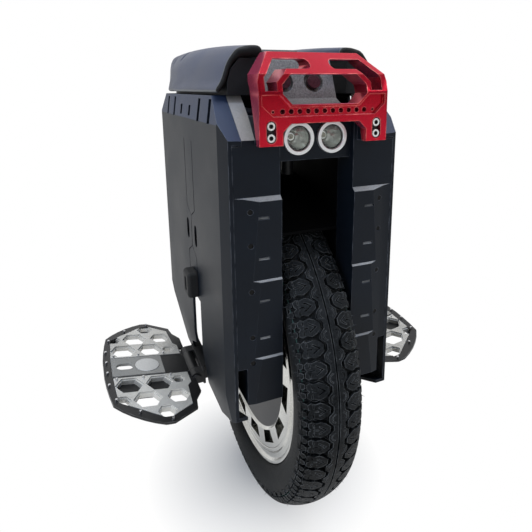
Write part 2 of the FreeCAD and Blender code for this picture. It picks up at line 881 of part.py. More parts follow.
def headlamp_reflector():
    start = lens_inset + lens_thickness
    mouth = lamp_radius - lamp_rim - slip - bowl_wall
    steps = 3
    inner = []
    for i in range(steps + 1):
        share = i / steps
        radius = mouth - (mouth - bowl_floor) * share
        depth = start + bowl_depth * (1 - (radius / mouth) ** 2) / (1 - (bowl_floor / mouth) ** 2)
        inner.append((depth, radius))
    outer = [(d + bowl_wall / 2, r + bowl_wall) for d, r in inner]
    outer[0] = (start, mouth + bowl_wall)
    floor = start + bowl_depth
    base = [(floor, 0), (floor + bowl_wall, 0), (floor + bowl_wall, bowl_floor + bowl_wall)]
    return turned_on_lamp(inner + base + outer[::-1])


def headlamp_leds():
    floor = lens_inset + lens_thickness + bowl_depth - lamp_front
    led = rod("y", led_radius, (lamp_x, lamp_z), floor - led_height, floor)
    return Part.makeCompound([led, mirrored(led)])


def front_bridge():
    body = box(-column_inside, column_inside, -bridge_front, -front_back, bridge_bottom, bridge_top)
    for x in (-lamp_x, lamp_x):
        body = body.cut(rod("y", lamp_radius + slip / 2, (x, lamp_z), -bridge_front - 1, -front_back + 1))
    return body


# Console: sloped box on a low foot, with two charging wells


def console_frame():
    # Unit vectors along the slope and out of it, in Y and Z.
    run, rise = console_front - console_brow, console_top - console_step
    length = math.hypot(run, rise)
    return (run / length, rise / length), (-rise / length, run / length)


def well_mouth(x):
    share = (console_front - well_y) / (console_front - console_brow)
    return V(x, -well_y, console_step + (console_top - console_step) * share)


def well_rod(x, radius, start, end):
    up, out = console_frame()
    normal = V(0, out[0], out[1])
    return Part.makeCylinder(radius, end - start, well_mouth(x) + normal * start, normal)


def console():
    share = (console_foot_z - console_step) / (console_top - console_step)
    heel = console_front - share * (console_front - console_brow)
    outline = [
        (-console_foot, bridge_top), (-console_back, bridge_top), (-console_back, console_top),
        (-console_brow, console_top), (-heel, console_foot_z), (-console_foot, console_toe),
    ]
    body = prism("x", outline, -console_half_width, console_half_width)
    for x in (-well_x, well_x):
        body = body.cut(well_rod(x, well_radius, -well_depth, 5))
    return body


def charge_ports():
    ports = [well_rod(x, port_radius, -well_depth, -well_depth + port_height) for x in (-well_x, well_x)]
    return Part.makeCompound(ports)


def charge_cap(x):
    # A rubber plug with a pull tail that points down the slope.
    up, out = console_frame()
    start = -well_depth + port_height + cap_travel_gap
    body = well_rod(x, cap_radius, start, start + cap_height)
    tip = well_mouth(x) + V(0, out[0], out[1]) * start - V(0, up[0], up[1]) * (cap_tail - 2.5)
    base = well_mouth(x) + V(0, out[0], out[1]) * start
    left, right = base + V(-cap_radius * 0.85, 0, 0), base + V(cap_radius * 0.85, 0, 0)
    tail = Part.Face(Part.makePolygon([left, tip, right, left]))
    tail = tail.extrude(V(0, out[0], out[1]) * (cap_height * 0.7))
    return body.fuse(tail).removeSplitter()


# Deck, button and trolley handle


def top_deck():
    body = box(-column_lip, column_lip, -console_back, rear_back, plate_top, plate_top + deck_thickness)
    for x in (-trolley_x, trolley_x):
        body = body.cut(rod("z", trolley_sleeve + slip / 2, (x, trolley_y), plate_top - 1, panel_top + 1))
    body = body.cut(rod("z", button_radius + slip, (0, button_y), plate_top - 1, panel_top + 1))
    section = [
        (seat_inside, plate_top + deck_thickness), (seat_foot_x, plate_top + deck_thickness),
        (seat_foot_x, seat_side_z), (seat_brow_x, seat_brow_z), (seat_top_x, seat_top),
        (seat_inside, seat_top),
    ]
    seat = prism("y", section, -seat_front, seat_rear)
    return body.fuse([seat, mirrored(seat)]).removeSplitter()


def power_button():
    top = plate_top + deck_thickness + button_proud
    cap = rod("z", button_radius, (0, button_y), plate_top - slip - 2, top)
    skirt = rod("z", button_skirt, (0, button_y), plate_top - slip - 2, plate_top - slip)
    return cap.fuse(skirt).removeSplitter()


def trolley_tubes():
    tube = rod("z", trolley_tube, (trolley_x, trolley_y), trolley_foot, grip_bottom)
    return Part.makeCompound([tube, mirrored(tube)])


def trolley_sleeves():
    sleeves = []
    for x in (-trolley_x, trolley_x):
        top = plate_top + deck_thickness + 1
        tube = rod("z", trolley_sleeve, (x, trolley_y), sleeve_foot, top)
        bore = rod("z", trolley_tube + running, (x, trolley_y), sleeve_foot + sleeve_floor, top + 1)
        sleeves.append(tube.cut(bore))
    return Part.makeCompound(sleeves)


def trolley_grip():
    body = box(-grip_half_width, grip_half_width, trolley_y - grip_half_depth, trolley_y + grip_half_depth,
               grip_bottom, grip_bottom + grip_height)
    edges = [e for e in body.Edges if e.BoundBox.XLength > grip_half_width or e.BoundBox.ZLength > 1]
    return body.makeFillet(grip_round, edges)


# Seat pads: crowned saddle flaps, drawn in at both ends, with one sewn channel


def pad_section(y, crown, draw, share):
    # The flap leans out at the front; towards the rear end the side stands up and grows square.
    shoulder = crown - pad_shoulder_drop
    lift = crown - pad_crown_front
    flap = pad_flap_x - draw - pad_rear_flap * share
    waist_x, waist_z = pad_waist_x - draw + pad_rear_waist * share, pad_waist_z + lift / 3
    shoulder_x = pad_shoulder_x + pad_rear_shoulder * share
    gap = slip
    outline = [
        (pad_inside, seat_top + gap), (seat_top_x + gap / 2, seat_top + gap),
        (seat_brow_x + gap, seat_brow_z + gap), (seat_foot_x + gap, seat_side_z),
        (flap - pad_flap_thickness, pad_flap_z - 1.5), (flap, pad_flap_z),
    ]
    outline += bent(outline[-1], (flap - 7.5, pad_flap_z + 9.5), (waist_x, waist_z), 3)
    swell = (waist_x - 5 + 3 * share, (waist_z + shoulder) / 2 + 1)
    outline += bent(outline[-1], swell, (shoulder_x, shoulder), 4)
    outline += bent(outline[-1], (pad_crown_x, crown), (pad_inside + 6, crown), 4)
    outline += bent(outline[-1], (pad_inside + 1.4, crown - 2.4), (pad_inside, crown - 7), 3)
    corners = [V(x, y, z) for x, z in outline]
    return Part.makePolygon(corners + corners[:1])


def seat_pad():
    wires = []
    for i in range(pad_stations):
        share = i / (pad_stations - 1)
        bow = math.sin(math.pi * share)
        crown = pad_crown_front + (pad_crown_rear - pad_crown_front) * share + pad_sag * bow
        y = pad_front + (pad_rear - pad_front) * share
        wires.append(pad_section(y, crown, pad_draw * (1 - bow), share))
    body = Part.makeLoft(wires, True, True)
    share = (pad_channel_y - pad_front) / (pad_rear - pad_front)
    crown = pad_crown_front + (pad_crown_rear - pad_crown_front) * share
    channel = box(pad_inside - 1, pad_waist_x, pad_channel_y, pad_channel_y + pad_channel_width,
                  crown - pad_channel_depth, crown + 20)
    return body.cut(channel)


# Inside: battery packs, heat sink, control board, rear cross-piece


def battery_pack():
    inside = plate_inside + plate_thickness
    body = box(inside, battery_outside, -battery_front, battery_rear, battery_bottom, battery_top)
    edges = [e for e in body.Edges if e.BoundBox.XLength > 1]
    return body.makeFillet(battery_round, edges)


def heat_sink():
    top = sink_bottom + sink_base
    body = box(-plate_inside, plate_inside, sink_front, sink_rear, sink_bottom, top)
    pitch = (2 * plate_inside - sink_fin_thickness) / (sink_fins - 1)
    for i in range(sink_fins):
        x = -plate_inside + i * pitch
        body = body.fuse(box(x, x + sink_fin_thickness, sink_front, sink_rear, top, top + sink_fin_height))
    return body.removeSplitter()


def controller_board():
    return box(-plate_inside + board_margin, plate_inside - board_margin, sink_front + board_margin,
               sink_rear - board_margin, sink_bottom - board_thickness, sink_bottom)


def rear_bridge():
    return box(-column_inside, column_inside, rear_back, rear_bridge_back, bridge_bottom, bridge_top)


def tail_lamp():
    body = box(-tail_half_width, tail_half_width, rear_bridge_back, rear_bridge_back + tail_thickness,
               tail_bottom, tail_bottom + tail_height)
    far = rear_bridge_back + tail_thickness
    edges = [e for e in body.Edges if e.BoundBox.YMin > far - 0.01]
    return body.makeFillet(tail_thickness / 2, edges)


# Pedal hangers and hinge pins


def pedal_hanger():
    outer = hanger_inside + hanger_thickness
    plate = box(hanger_inside, outer, -hanger_half_width, hanger_half_width, hanger_arm_bottom, hanger_top)
    arm = box(hanger_inside, lug_back + 2, -hanger_half_width, hanger_half_width,
              hanger_arm_bottom, hanger_arm_top)
    back_far = hinge_x - hinge_barrel - 1
    back = box(lug_back, back_far, -lug_outside, lug_outside, hanger_arm_bottom, hanger_arm_top)
    body = plate.fuse([arm, back])
    for s in (-1, 1):
        ends = sorted((s * lug_inside, s * lug_outside))
        lug = rod("y", hinge_barrel, (hinge_x, hinge_z), *ends)
        root = box(back_far - 1, hinge_x, ends[0], ends[1], hinge_z - hinge_barrel, hinge_z + hinge_barrel)
        body = body.fuse([lug, root])
    body = body.cut(rod("y", hinge_pin + running, (hinge_x, hinge_z), -lug_outside - 1, lug_outside + 1))
    body = body.cut(rod("x", axle_radius + running, (0, tyre_radius), hanger_inside - 1, outer + 1))
    return body.removeSplitter()


def hinge_pins():
    pin = rod("y", hinge_pin, (hinge_x, hinge_z), -lug_outside - hinge_head_height, lug_outside + 1)
    pin = pin.fuse(rod("y", hinge_head, (hinge_x, hinge_z), -lug_outside - hinge_head_height, -lug_outside))
    pin = pin.removeSplitter()
    return Part.makeCompound([pin, mirrored(pin)])


# Pedals: drawn flat on the hinge axis, then tilted and set in place


def set_pedal(shape):
    placed = shape.copy()
    placed.rotate(V(0, 0, 0), V(0, 1, 0), -pedal_tilt)
    placed.translate(V(hinge_x, 0, hinge_z))
    return placed


def pedal_outline():
    # Anticlockwise, from the hinge notch round both ends.
    half = [
        (pedal_root, pedal_root_y), (pedal_neck, pedal_neck_y), (pedal_shoulder, pedal_shoulder_y),
        (pedal_nose, pedal_tip_y), (pedal_tip, pedal_tip_y),
    ]
    notch_y = lug_outside + hinge_head_height + 1.5
    tip, corner = (pedal_tip, pedal_tip_y), (pedal_corner, pedal_corner_y)
    bulge = ((tip[0] + corner[0]) / 2 + 4, (tip[1] + corner[1]) / 2 + 4)
    upper = bent((pedal_reach, 0), (pedal_reach - 2, pedal_corner_y / 2), corner, 4)
    upper += bent(corner, bulge, tip, 5) + half[::-1][1:]
    upper += [(pedal_root, notch_y), (hinge_barrel + 1.5, notch_y)]
    return [(x, -y) for x, y in upper[::-1]] + upper


def pedal_slab():
    # Full width at the top edge, drawn in below it.
    top, bottom = pedal_rise - pedal_edge, pedal_rise - pedal_thickness
    outline = pedal_outline()
    wires = []
    for ring, z in ((outline, top), (inset(outline, pedal_undercut), bottom)):
        corners = [V(x, y, z) for x, y in ring]
        wires.append(Part.makePolygon(corners + corners[:1]))
    return prism("z", outline, top, pedal_rise).fuse(Part.makeLoft(wires, True, True))


def plate_outline():
    # One honeycomb plate's pocket, on the +Y half.
    b = pedal_band
    return [
        (plate_ear, plate_inner_y), (pedal_corner - b + 6, plate_inner_y),
        (pedal_corner - b + 3, pedal_corner_y - b / 2), (pedal_tip, pedal_tip_y - b - 2),
        (pedal_nose, pedal_tip_y - b - 2), (plate_throat + 3, pedal_shoulder_y - b),
        (plate_throat, plate_ear_y + 8), (plate_ear, plate_ear_y),
    ]


def flip(outline):
    return [(x, -y) for x, y in outline][::-1]


def pedal_frame():
    low = pedal_rise - pedal_thickness
    knuckle = rod("y", hinge_barrel, (0, 0), -knuckle_half, knuckle_half)
    web = box(0, 2 * hinge_barrel + 3, -knuckle_half, knuckle_half, low, pedal_rise)
    body = pedal_slab().fuse([knuckle, web])
    for side in (plate_outline(), flip(plate_outline())):
        body = body.cut(prism("z", side, low + plate_floor, pedal_rise + 1))
        body = body.cut(prism("z", inset(side, plate_ledge), low - 1, pedal_rise + 1))
    body = body.cut(box(middle_inner, middle_outer, -middle_half, middle_half,
                        pedal_rise - middle_thickness, pedal_rise + 1))
    room = oval_half_width + oval_room
    body = body.cut(box(oval_out - oval_half_length - room, oval_out + oval_half_length + room,
                        -oval_room_side, oval_room_side, low - 1, pedal_rise + 1))
    # A thin floor closes the front plate's inner row of cells.
    floor = prism("z", inset(flip(plate_outline()), plate_ledge - 1), low, low + plate_floor)
    body = body.fuse(floor.common(box(0, pedal_reach, -web_reach, 0, low, low + plate_floor)))
    body = body.cut(rod("y", hinge_pin + running, (0, 0), -knuckle_half - 1, knuckle_half + 1))
    for x, y in pin_spots():
        body = body.cut(rod("z", pin_radius + running, (x, y), pedal_rise - pin_sink, pedal_rise + 1))
    return body.removeSplitter()


def oval(bottom, top):
    body = box(oval_out - oval_half_length, oval_out + oval_half_length,
               -oval_half_width, oval_half_width, bottom, top)
    for x in (oval_out - oval_half_length, oval_out + oval_half_length):
        body = body.fuse(rod("z", oval_half_width, (x, 0), bottom, top))
    return body.removeSplitter()


def pin_spots():
    return [(x, s * y) for x, y in pin_places for s in (-1, 1)]


def pedal_plate():
    # Honeycomb plate of the +Y half: stepped cells through it, part cells at its edges.
    low = pedal_rise - pedal_thickness + plate_floor
    outline = inset(plate_outline(), slip)
    body = prism("z", outline, low, pedal_rise + plate_proud)
    cells = [(hex_first, hex_row_y, hex_radius), (hex_first + hex_pitch, hex_row_y, hex_radius)]
    second = hex_row_y + hex_next_row
    cells += [(hex_first + hex_pitch / 2, second, hex_radius)]
    cells += [(hex_first - hex_pitch / 2, second, hex_side)]
    cells += [(hex_first + 1.3 * hex_pitch, second, hex_small)]
    cells += [(hex_first, second + hex_next_row - 5, hex_tip)]
    cells += [(hex_first - hex_pitch * 0.68, hex_row_y - 4, hex_small * 0.8)]
    step = pedal_rise + plate_proud - cell_step_depth
    for x, y, radius in cells:
        for size, floor in ((radius, low - 1), (radius + cell_step, step)):
            corners = []
            for k in range(6):
                angle = math.radians(60 * k)
                corners.append((x + size * math.cos(angle), y + size * math.sin(angle)))
            body = body.cut(prism("z", corners, floor, pedal_rise + 2))
    for x, y in plate_pin_places:
        body = body.cut(rod("z", pin_radius + running, (x, y), pedal_rise - pin_sink, pedal_rise + 2))
    return body


def pedal_middle():
    bottom, top = pedal_rise - middle_thickness, pedal_rise + middle_proud
    body = box(middle_inner + slip, middle_outer - slip,
               -middle_half + slip, middle_half - slip, bottom, top)
    body = body.cut(oval(bottom - 1, top + 1))
    return body.cut(rod("z", badge_radius + slip, (badge_out, 0), top - badge_thickness, top + 1))


def pedal_badge():
    top = pedal_rise + middle_proud
    return rod("z", badge_radius, (badge_out, 0), top - badge_thickness, top + 0.4)


def pedal_pins():
    pins = []
    spots = pin_spots() + [(x, s * y) for x, y in plate_pin_places for s in (-1, 1)]
    for x, y in spots:
        pins.append(rod("z", pin_radius, (x, y), pedal_rise - pin_sink, pedal_rise + pin_height))
    return Part.makeCompound(pins)


def across(shape):
    # The same piece turned over to the -Y half of the flat pedal.
    return shape.mirror(V(0, 0, 0), V(0, 1, 0))


def pair(name, shape):
    return {name + "_right": shape, name + "_left": mirrored(shape)}


def assembly():
    nodes = {"tyre": tyre(), "rim": rim(), "axle": axle(), "motor_stator": stator()}
    nodes["motor_cover_right"] = motor_cover(True)
    nodes["motor_cover_left"] = mirrored(motor_cover(False))
    nodes.update(pair("wheel_bearing", bearing()))
    nodes["wheel_arch"] = wheel_arch()
    nodes.update(pair("front_column", column(-1, front_face, front_lip, front_back, panel_front_edge)))
    nodes.update(pair("rear_column", column(1, rear_face, rear_lip, rear_back, panel_rear_edge)))
    nodes["column_screws"] = column_screws()
    nodes.update(pair("side_panel", side_panel()))
    nodes.update(pair("bumper", bumper()))
    nodes["lift_handle"] = lift_handle()
    nodes["handle_screws"] = handle_screws()
    nodes["front_bridge"] = front_bridge()
    nodes.update(pair("headlamp_bezel", headlamp_bezel()))
    nodes.update(pair("headlamp_lens", headlamp_lens()))
    nodes.update(pair("headlamp_reflector", headlamp_reflector()))
    nodes["headlamp_leds"] = headlamp_leds()
    nodes["console"] = console()
    nodes["charge_ports"] = charge_ports()
    nodes["charge_cap_left"] = charge_cap(-well_x)
    nodes["charge_cap_right"] = charge_cap(well_x)
    nodes["top_deck"] = top_deck()
    nodes["power_button"] = power_button()
    nodes["trolley_tubes"] = trolley_tubes()
    nodes["trolley_sleeves"] = trolley_sleeves()
    nodes["trolley_grip"] = trolley_grip()
    nodes.update(pair("seat_pad", seat_pad()))
    nodes.update(pair("battery_pack", battery_pack()))
    nodes["heat_sink"] = heat_sink()
    nodes["controller_board"] = controller_board()
    nodes["rear_bridge"] = rear_bridge()
    nodes["tail_lamp"] = tail_lamp()
    nodes.update(pair("pedal_hanger", pedal_hanger()))
    nodes["hinge_pins"] = hinge_pins()
    nodes.update(pair("pedal_frame", set_pedal(pedal_frame())))
    nodes.update(pair("pedal_plate_rear", set_pedal(pedal_plate())))
    nodes.update(pair("pedal_plate_front", set_pedal(across(pedal_plate()))))
    nodes.update(pair("pedal_middle", set_pedal(pedal_middle())))
    nodes.update(pair("pedal_badge", set_pedal(pedal_badge())))
    nodes.update(pair("pedal_pins", set_pedal(pedal_pins())))
    return nodes


for name, shape in assembly().items():
    shape.exportStep(os.path.join("parts", name + ".step"))
    state = "valid" if shape.isValid() else "INVALID"
    print(name, len(shape.Solids), state, round(shape.Volume / 1000, 1), "cm3")
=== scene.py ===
import bmesh
import bpy
import math
import random
from mathutils import Matrix, Vector
from mathutils.geometry import delaunay_2d_cdt


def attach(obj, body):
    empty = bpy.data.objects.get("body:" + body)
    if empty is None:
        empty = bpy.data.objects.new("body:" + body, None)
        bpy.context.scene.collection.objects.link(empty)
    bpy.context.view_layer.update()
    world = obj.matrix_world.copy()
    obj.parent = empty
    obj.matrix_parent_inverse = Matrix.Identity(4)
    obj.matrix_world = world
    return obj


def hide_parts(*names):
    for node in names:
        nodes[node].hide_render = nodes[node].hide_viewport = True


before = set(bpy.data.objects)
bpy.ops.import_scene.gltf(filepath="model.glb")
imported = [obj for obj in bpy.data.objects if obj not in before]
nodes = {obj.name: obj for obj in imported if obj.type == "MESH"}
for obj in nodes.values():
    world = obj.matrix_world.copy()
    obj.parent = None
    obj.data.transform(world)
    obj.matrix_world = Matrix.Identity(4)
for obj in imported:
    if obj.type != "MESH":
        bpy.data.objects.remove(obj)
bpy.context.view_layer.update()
scene = bpy.context.scene
scene.view_settings.view_transform = "Standard"


# Hub motor: stator, axle and bearings
# An iron stator sits on a ground steel axle and the covers turn round it on two
# ball bearings. All of it is bare metal, seen only through the covers' windows.

def new_group(name, inputs, outputs):
    kinds = {"value": "NodeSocketFloat", "colour": "NodeSocketColor", "vector": "NodeSocketVector"}
    group = bpy.data.node_groups.new(name, "ShaderNodeTree")
    for label, kind in inputs.items():
        group.interface.new_socket(label, in_out="INPUT", socket_type=kinds[kind])
    for label, kind in outputs.items():
        group.interface.new_socket(label, in_out="OUTPUT", socket_type=kinds[kind])
    return group, group.nodes.new("NodeGroupInput").outputs, group.nodes.new("NodeGroupOutput").inputs


def set_input(tree, socket, value):
    # A socket is linked to another socket or set to a plain value.
    if isinstance(value, bpy.types.NodeSocket):
        tree.links.new(value, socket)
    else:
        socket.default_value = value


def add(tree, kind, settings=None, **values):
    node = tree.nodes.new(kind)
    for key, value in values.items():
        setattr(node, key, value)
    for key, value in (settings or {}).items():
        set_input(tree, node.inputs[key], value)
    return node


def spread(tree, value, low, high, to_low=0.0, to_high=1.0):
    # Stretches a value from one pair of limits to another.
    limits = {"From Min": low, "From Max": high, "To Min": to_low, "To Max": to_high}
    return add(tree, "ShaderNodeMapRange", {"Value": value, **limits}).outputs["Result"]


def two_colours(tree, share, first, second):
    # The mix node's colour sockets are numbered, because its names repeat for each data type.
    share_socket, first_socket, second_socket, result = 0, 6, 7, 2
    settings = {share_socket: share, first_socket: first, second_socket: second}
    return add(tree, "ShaderNodeMix", settings, data_type="RGBA").outputs[result]


def make_surface_grain():
    # Fine grain with slow patches: colour between two tones, roughness and a shallow relief.
    inputs = {"Dark": "colour", "Light": "colour", "Size": "value", "Relief": "value",
              "Smooth": "value", "Rough": "value"}
    group, given, made = new_group("surface grain", inputs,
                                   {"Colour": "colour", "Roughness": "value", "Normal": "vector"})
    place = add(group, "ShaderNodeTexCoord").outputs["Object"]
    scale = add(group, "ShaderNodeMath", {0: 1.0, 1: given["Size"]}, operation="DIVIDE").outputs[0]
    fine = add(group, "ShaderNodeTexNoise", {"Vector": place, "Scale": scale, "Detail": 2.0}).outputs["Fac"]
    patch = add(group, "ShaderNodeTexNoise", {"Vector": place, "Scale": 11.0, "Detail": 4.0}).outputs["Fac"]
    blend = add(group, "ShaderNodeMath", {0: fine, 1: patch}, operation="ADD").outputs[0]
    share = spread(group, blend, low=0.75, high=1.25)
    group.links.new(two_colours(group, share, given["Dark"], given["Light"]), made["Colour"])
    polish = spread(group, blend, low=0.7, high=1.3, to_low=given["Smooth"], to_high=given["Rough"])
    group.links.new(polish, made["Roughness"])
    bump = add(group, "ShaderNodeBump", {"Height": fine, "Strength": given["Relief"], "Distance": 0.0005})
    group.links.new(bump.outputs["Normal"], made["Normal"])
    return group


def make_edge_wear_and_highlight():
    # A mask along sharp edges, broken up by a noise pattern. Some finishes use it for real edge wear, others
    # for a painted edge highlight.
    group, given, made = new_group("edge wear", {"Radius": "value", "Amount": "value", "Full": "value"},
                                   {"Mask": "value"})
    soft = add(group, "ShaderNodeBevel", {"Radius": given["Radius"]}, samples=6).outputs["Normal"]
    true = add(group, "ShaderNodeNewGeometry").outputs["Normal"]
    facing = add(group, "ShaderNodeVectorMath", {0: soft, 1: true}, operation="DOT_PRODUCT").outputs["Value"]
    edge = spread(group, facing, low=0.998, high=given["Full"])
    place = add(group, "ShaderNodeTexCoord").outputs["Object"]
    edge_noise = add(group, "ShaderNodeTexNoise", {"Vector": place, "Scale": 90.0, "Detail": 5.0}).outputs["Fac"]
    broken = spread(group, edge_noise, low=0.36, high=0.6)
    noisy_edge = add(group, "ShaderNodeMath", {0: edge, 1: broken}, operation="MULTIPLY").outputs[0]
    mask = add(group, "ShaderNodeMath", {0: noisy_edge, 1: given["Amount"]}, operation="MULTIPLY").outputs[0]
    group.links.new(mask, made["Mask"])
    return group


surface_grain = make_surface_grain()
edge_wear_and_highlight = make_edge_wear_and_highlight()


def finish(name, dark, light, grain, relief, rough, wear_and_highlight_colour=None, wear_and_highlight=0.6, wear_and_highlight_radius=0.0008, wear_and_highlight_full=0.86,
           **constants):
    # One finish: two tones with grain, roughness limits, and an optional edge colour, which is real wear on
    # some finishes and a painted highlight on others.
    material = bpy.data.materials.new(name)
    material.use_nodes = True
    tree = material.node_tree
    shader = tree.nodes["Principled BSDF"]
    smooth, dull = rough
    surface = add(tree, "ShaderNodeGroup", node_tree=surface_grain)
    given = {"Dark": (*dark, 1), "Light": (*light, 1), "Size": grain, "Relief": relief,
             "Smooth": smooth, "Rough": dull}
    for key, value in given.items():
        surface.inputs[key].default_value = value
    colour = surface.outputs["Colour"]
    if wear_and_highlight_colour:
        edge = add(tree, "ShaderNodeGroup", node_tree=edge_wear_and_highlight)
        edge.inputs["Radius"].default_value = wear_and_highlight_radius
        edge.inputs["Amount"].default_value = wear_and_highlight
        edge.inputs["Full"].default_value = wear_and_highlight_full
        colour = two_colours(tree, edge.outputs["Mask"], colour, (*wear_and_highlight_colour, 1))
    tree.links.new(colour, shader.inputs["Base Color"])
    tree.links.new(surface.outputs["Roughness"], shader.inputs["Roughness"])
    tree.links.new(surface.outputs["Normal"], shader.inputs["Normal"])
    for key, value in constants.items():
        shader.inputs[key.replace("_", " ").title().replace("Ior", "IOR")].default_value = value
    return material


weld_gap = 0.00001
flat_degrees = 0.6
face_weight = 80


def dress(material, *names, rounding=0.0, segments=2, crease=16):
    # Puts a finish on CAD pieces and breaks their sharp edges by the given radius.
    for name in names:
        piece = nodes[name]
        piece.data.materials.clear()
        piece.data.materials.append(material)
        if rounding:
            weld = piece.modifiers.new("weld", "WELD")
            weld.merge_threshold = weld_gap
            flat = piece.modifiers.new("flat faces", "DECIMATE")
            flat.decimate_type = "DISSOLVE"
            flat.angle_limit = math.radians(flat_degrees)
            flat.delimit = {"MATERIAL"}
            bevel = piece.modifiers.new("broken edges", "BEVEL")
            bevel.width = rounding
            bevel.segments = segments
            bevel.limit_method = "ANGLE"
            bevel.angle_limit = math.radians(crease)
            even = piece.modifiers.new("even faces", "WEIGHTED_NORMAL")
            even.weight = face_weight
            piece.data.shade_smooth()


def both(name):
    return name + "_left", name + "_right"


stator_iron = finish("stator iron", dark=(0.12, 0.1, 0.085), light=(0.22, 0.19, 0.16),
                     grain=0.0006, relief=0.5, rough=(0.45, 0.65), metallic=0.8)
ground_steel = finish("ground steel", dark=(0.5, 0.5, 0.51), light=(0.68, 0.68, 0.69),
                      grain=0.0004, relief=0.15, rough=(0.22, 0.36), metallic=1.0)
dress(stator_iron, "motor_stator")
dress(ground_steel, "axle", *both("wheel_bearing"))


# Rim and motor covers
# A cast aluminium rim carries two dished covers with windows between short spokes.
# The castings are turned on their lips and left bright, with a faint milky grain.

mm = 0.001
wheel_radius = 248.0
cover_lip_radius = 142.0


def tint(material, test, *names):
    # Puts a second finish on those faces of a CAD piece that pass the test (centre in mm, normal).
    for name in names:
        piece = nodes[name]
        piece.data.materials.append(material)
        for face in piece.data.polygons:
            if test(face.center / mm, face.normal):
                face.material_index = len(piece.data.materials) - 1


def on_cover_lip(at, way):
    return math.hypot(at.y, at.z - wheel_radius) > cover_lip_radius


cast_silver = finish("cast silver", dark=(0.4, 0.4, 0.385), light=(0.74, 0.74, 0.7),
                     grain=0.0009, relief=0.14, rough=(0.08, 0.2),
                     wear_and_highlight_colour=(0.9, 0.9, 0.88), wear_and_highlight=0.8, metallic=1.0)
cover_grey = finish("cover grey", dark=(0.035, 0.035, 0.036), light=(0.065, 0.065, 0.066),
                    grain=0.0009, relief=0.3, rough=(0.42, 0.6),
                    wear_and_highlight_colour=(0.5, 0.5, 0.5), wear_and_highlight=0.7, metallic=0.5)
dress(cast_silver, "rim", rounding=0.0012, segments=3)
dress(cover_grey, *both("motor_cover"), rounding=0.0008)
tint(cast_silver, on_cover_lip, *both("motor_cover"))


# Tyre
# A motorcycle-pattern rubber tyre: a split centre rib, zigzag grooves and shoulder blocks
# with sipes. The carcass is turned, and every block stands on it as its own form.

# Sizes are in mm; a reach is measured along the tread's surface from its middle.
tread_count = 64
pitch = 2 * math.pi * wheel_radius / tread_count
groove_floor = 6.0
floor_reach = 44.0
floor_fade = 10.0
crown_radius = 72.0
crown_reach = 33.2
shoulder_radius = 16.2
shoulder_start = 0.4606
shoulder_reach = 51.2
shoulder_x = 24.8
shoulder_height = 226.0
half_width = 41.0


def tread_point(s, depth):
    # Section of the tread: crown arc, shoulder arc, then the upper sidewall (s along the surface).
    side, s = math.copysign(1.0, s), abs(s)
    if s < crown_reach:
        turn = s / crown_radius
        arc = crown_radius - depth
        return side * arc * math.sin(turn), wheel_radius - crown_radius + arc * math.cos(turn)
    if s < shoulder_reach:
        turn = shoulder_start + (s - crown_reach) / shoulder_radius
        arc = shoulder_radius - depth
        return side * (shoulder_x + arc * math.sin(turn)), shoulder_height + arc * math.cos(turn)
    return side * (half_width - depth), shoulder_height - (s - shoulder_reach)


def on_wheel(x, radius, turn):
    return Vector((x, -radius * math.sin(turn), wheel_radius + radius * math.cos(turn))) * mm


def floor_depth(s):
    # The grooves run level over the crown and rise to the surface on the shoulder.
    s = abs(s)
    if s < floor_reach:
        return groove_floor
    return max(0.0, groove_floor * (1 - (s - floor_reach) / floor_fade))


line_start, line_end = 47.0, 47.9
carcass_steps = 192


def turned_carcass(verts, faces, inks):
    # The ground between the blocks and the sidewalls down to the beads, with a thin painted line.
    stations = (0, 5, 10, 15, 20, 25, 30, 34, 38, 41, 44, line_start, line_end, 50, 52, 54.5, 57.2)
    sidewall = [(40.3, 211.0), (38.3, 202.0), (35.0, 196.0), (31.5, 192.6), (28.4, 191.6), (28.2, 186.2)]
    half = [tread_point(s, floor_depth(s)) for s in stations] + sidewall
    section = half[::-1] + [(-x, r) for x, r in half[1:]]
    painted = stations.index(line_start)
    line = {len(half) - 2 - painted, len(half) - 1 + painted}
    first = len(verts)
    for i in range(carcass_steps):
        turn = 2 * math.pi * i / carcass_steps
        verts += [on_wheel(x, r, turn) for x, r in section]
    width = len(section)
    for i in range(carcass_steps):
        for k in range(width - 1):
            a, b = first + i * width + k, first + (i + 1) % carcass_steps * width + k
            faces.append((a, a + 1, b + 1, b))
            inks.append(1 if k in line else 0)


def inside(point, loop):
    hit = False
    for (ax, ay), (bx, by) in zip(loop, loop[1:] + loop[:1]):
        if (ay > point[1]) != (by > point[1]):
            hit ^= point[0] < (bx - ax) * (point[1] - ay) / (by - ay) + ax
    return hit


def cut_finer(loop, step):
    points = []
    for (ax, ay), (bx, by) in zip(loop, loop[1:] + loop[:1]):
        count = max(1, math.ceil(math.hypot(bx - ax, by - ay) / step))
        points += [(ax + (bx - ax) * i / count, ay + (by - ay) * i / count) for i in range(count)]
    return points


outline_step = 3.2
sipe_step = 2.0
fill_step = 3.0
fill_clearance = 1.3
inside_only = 1
join_gap = 1e-5
end_gap = 1e-4


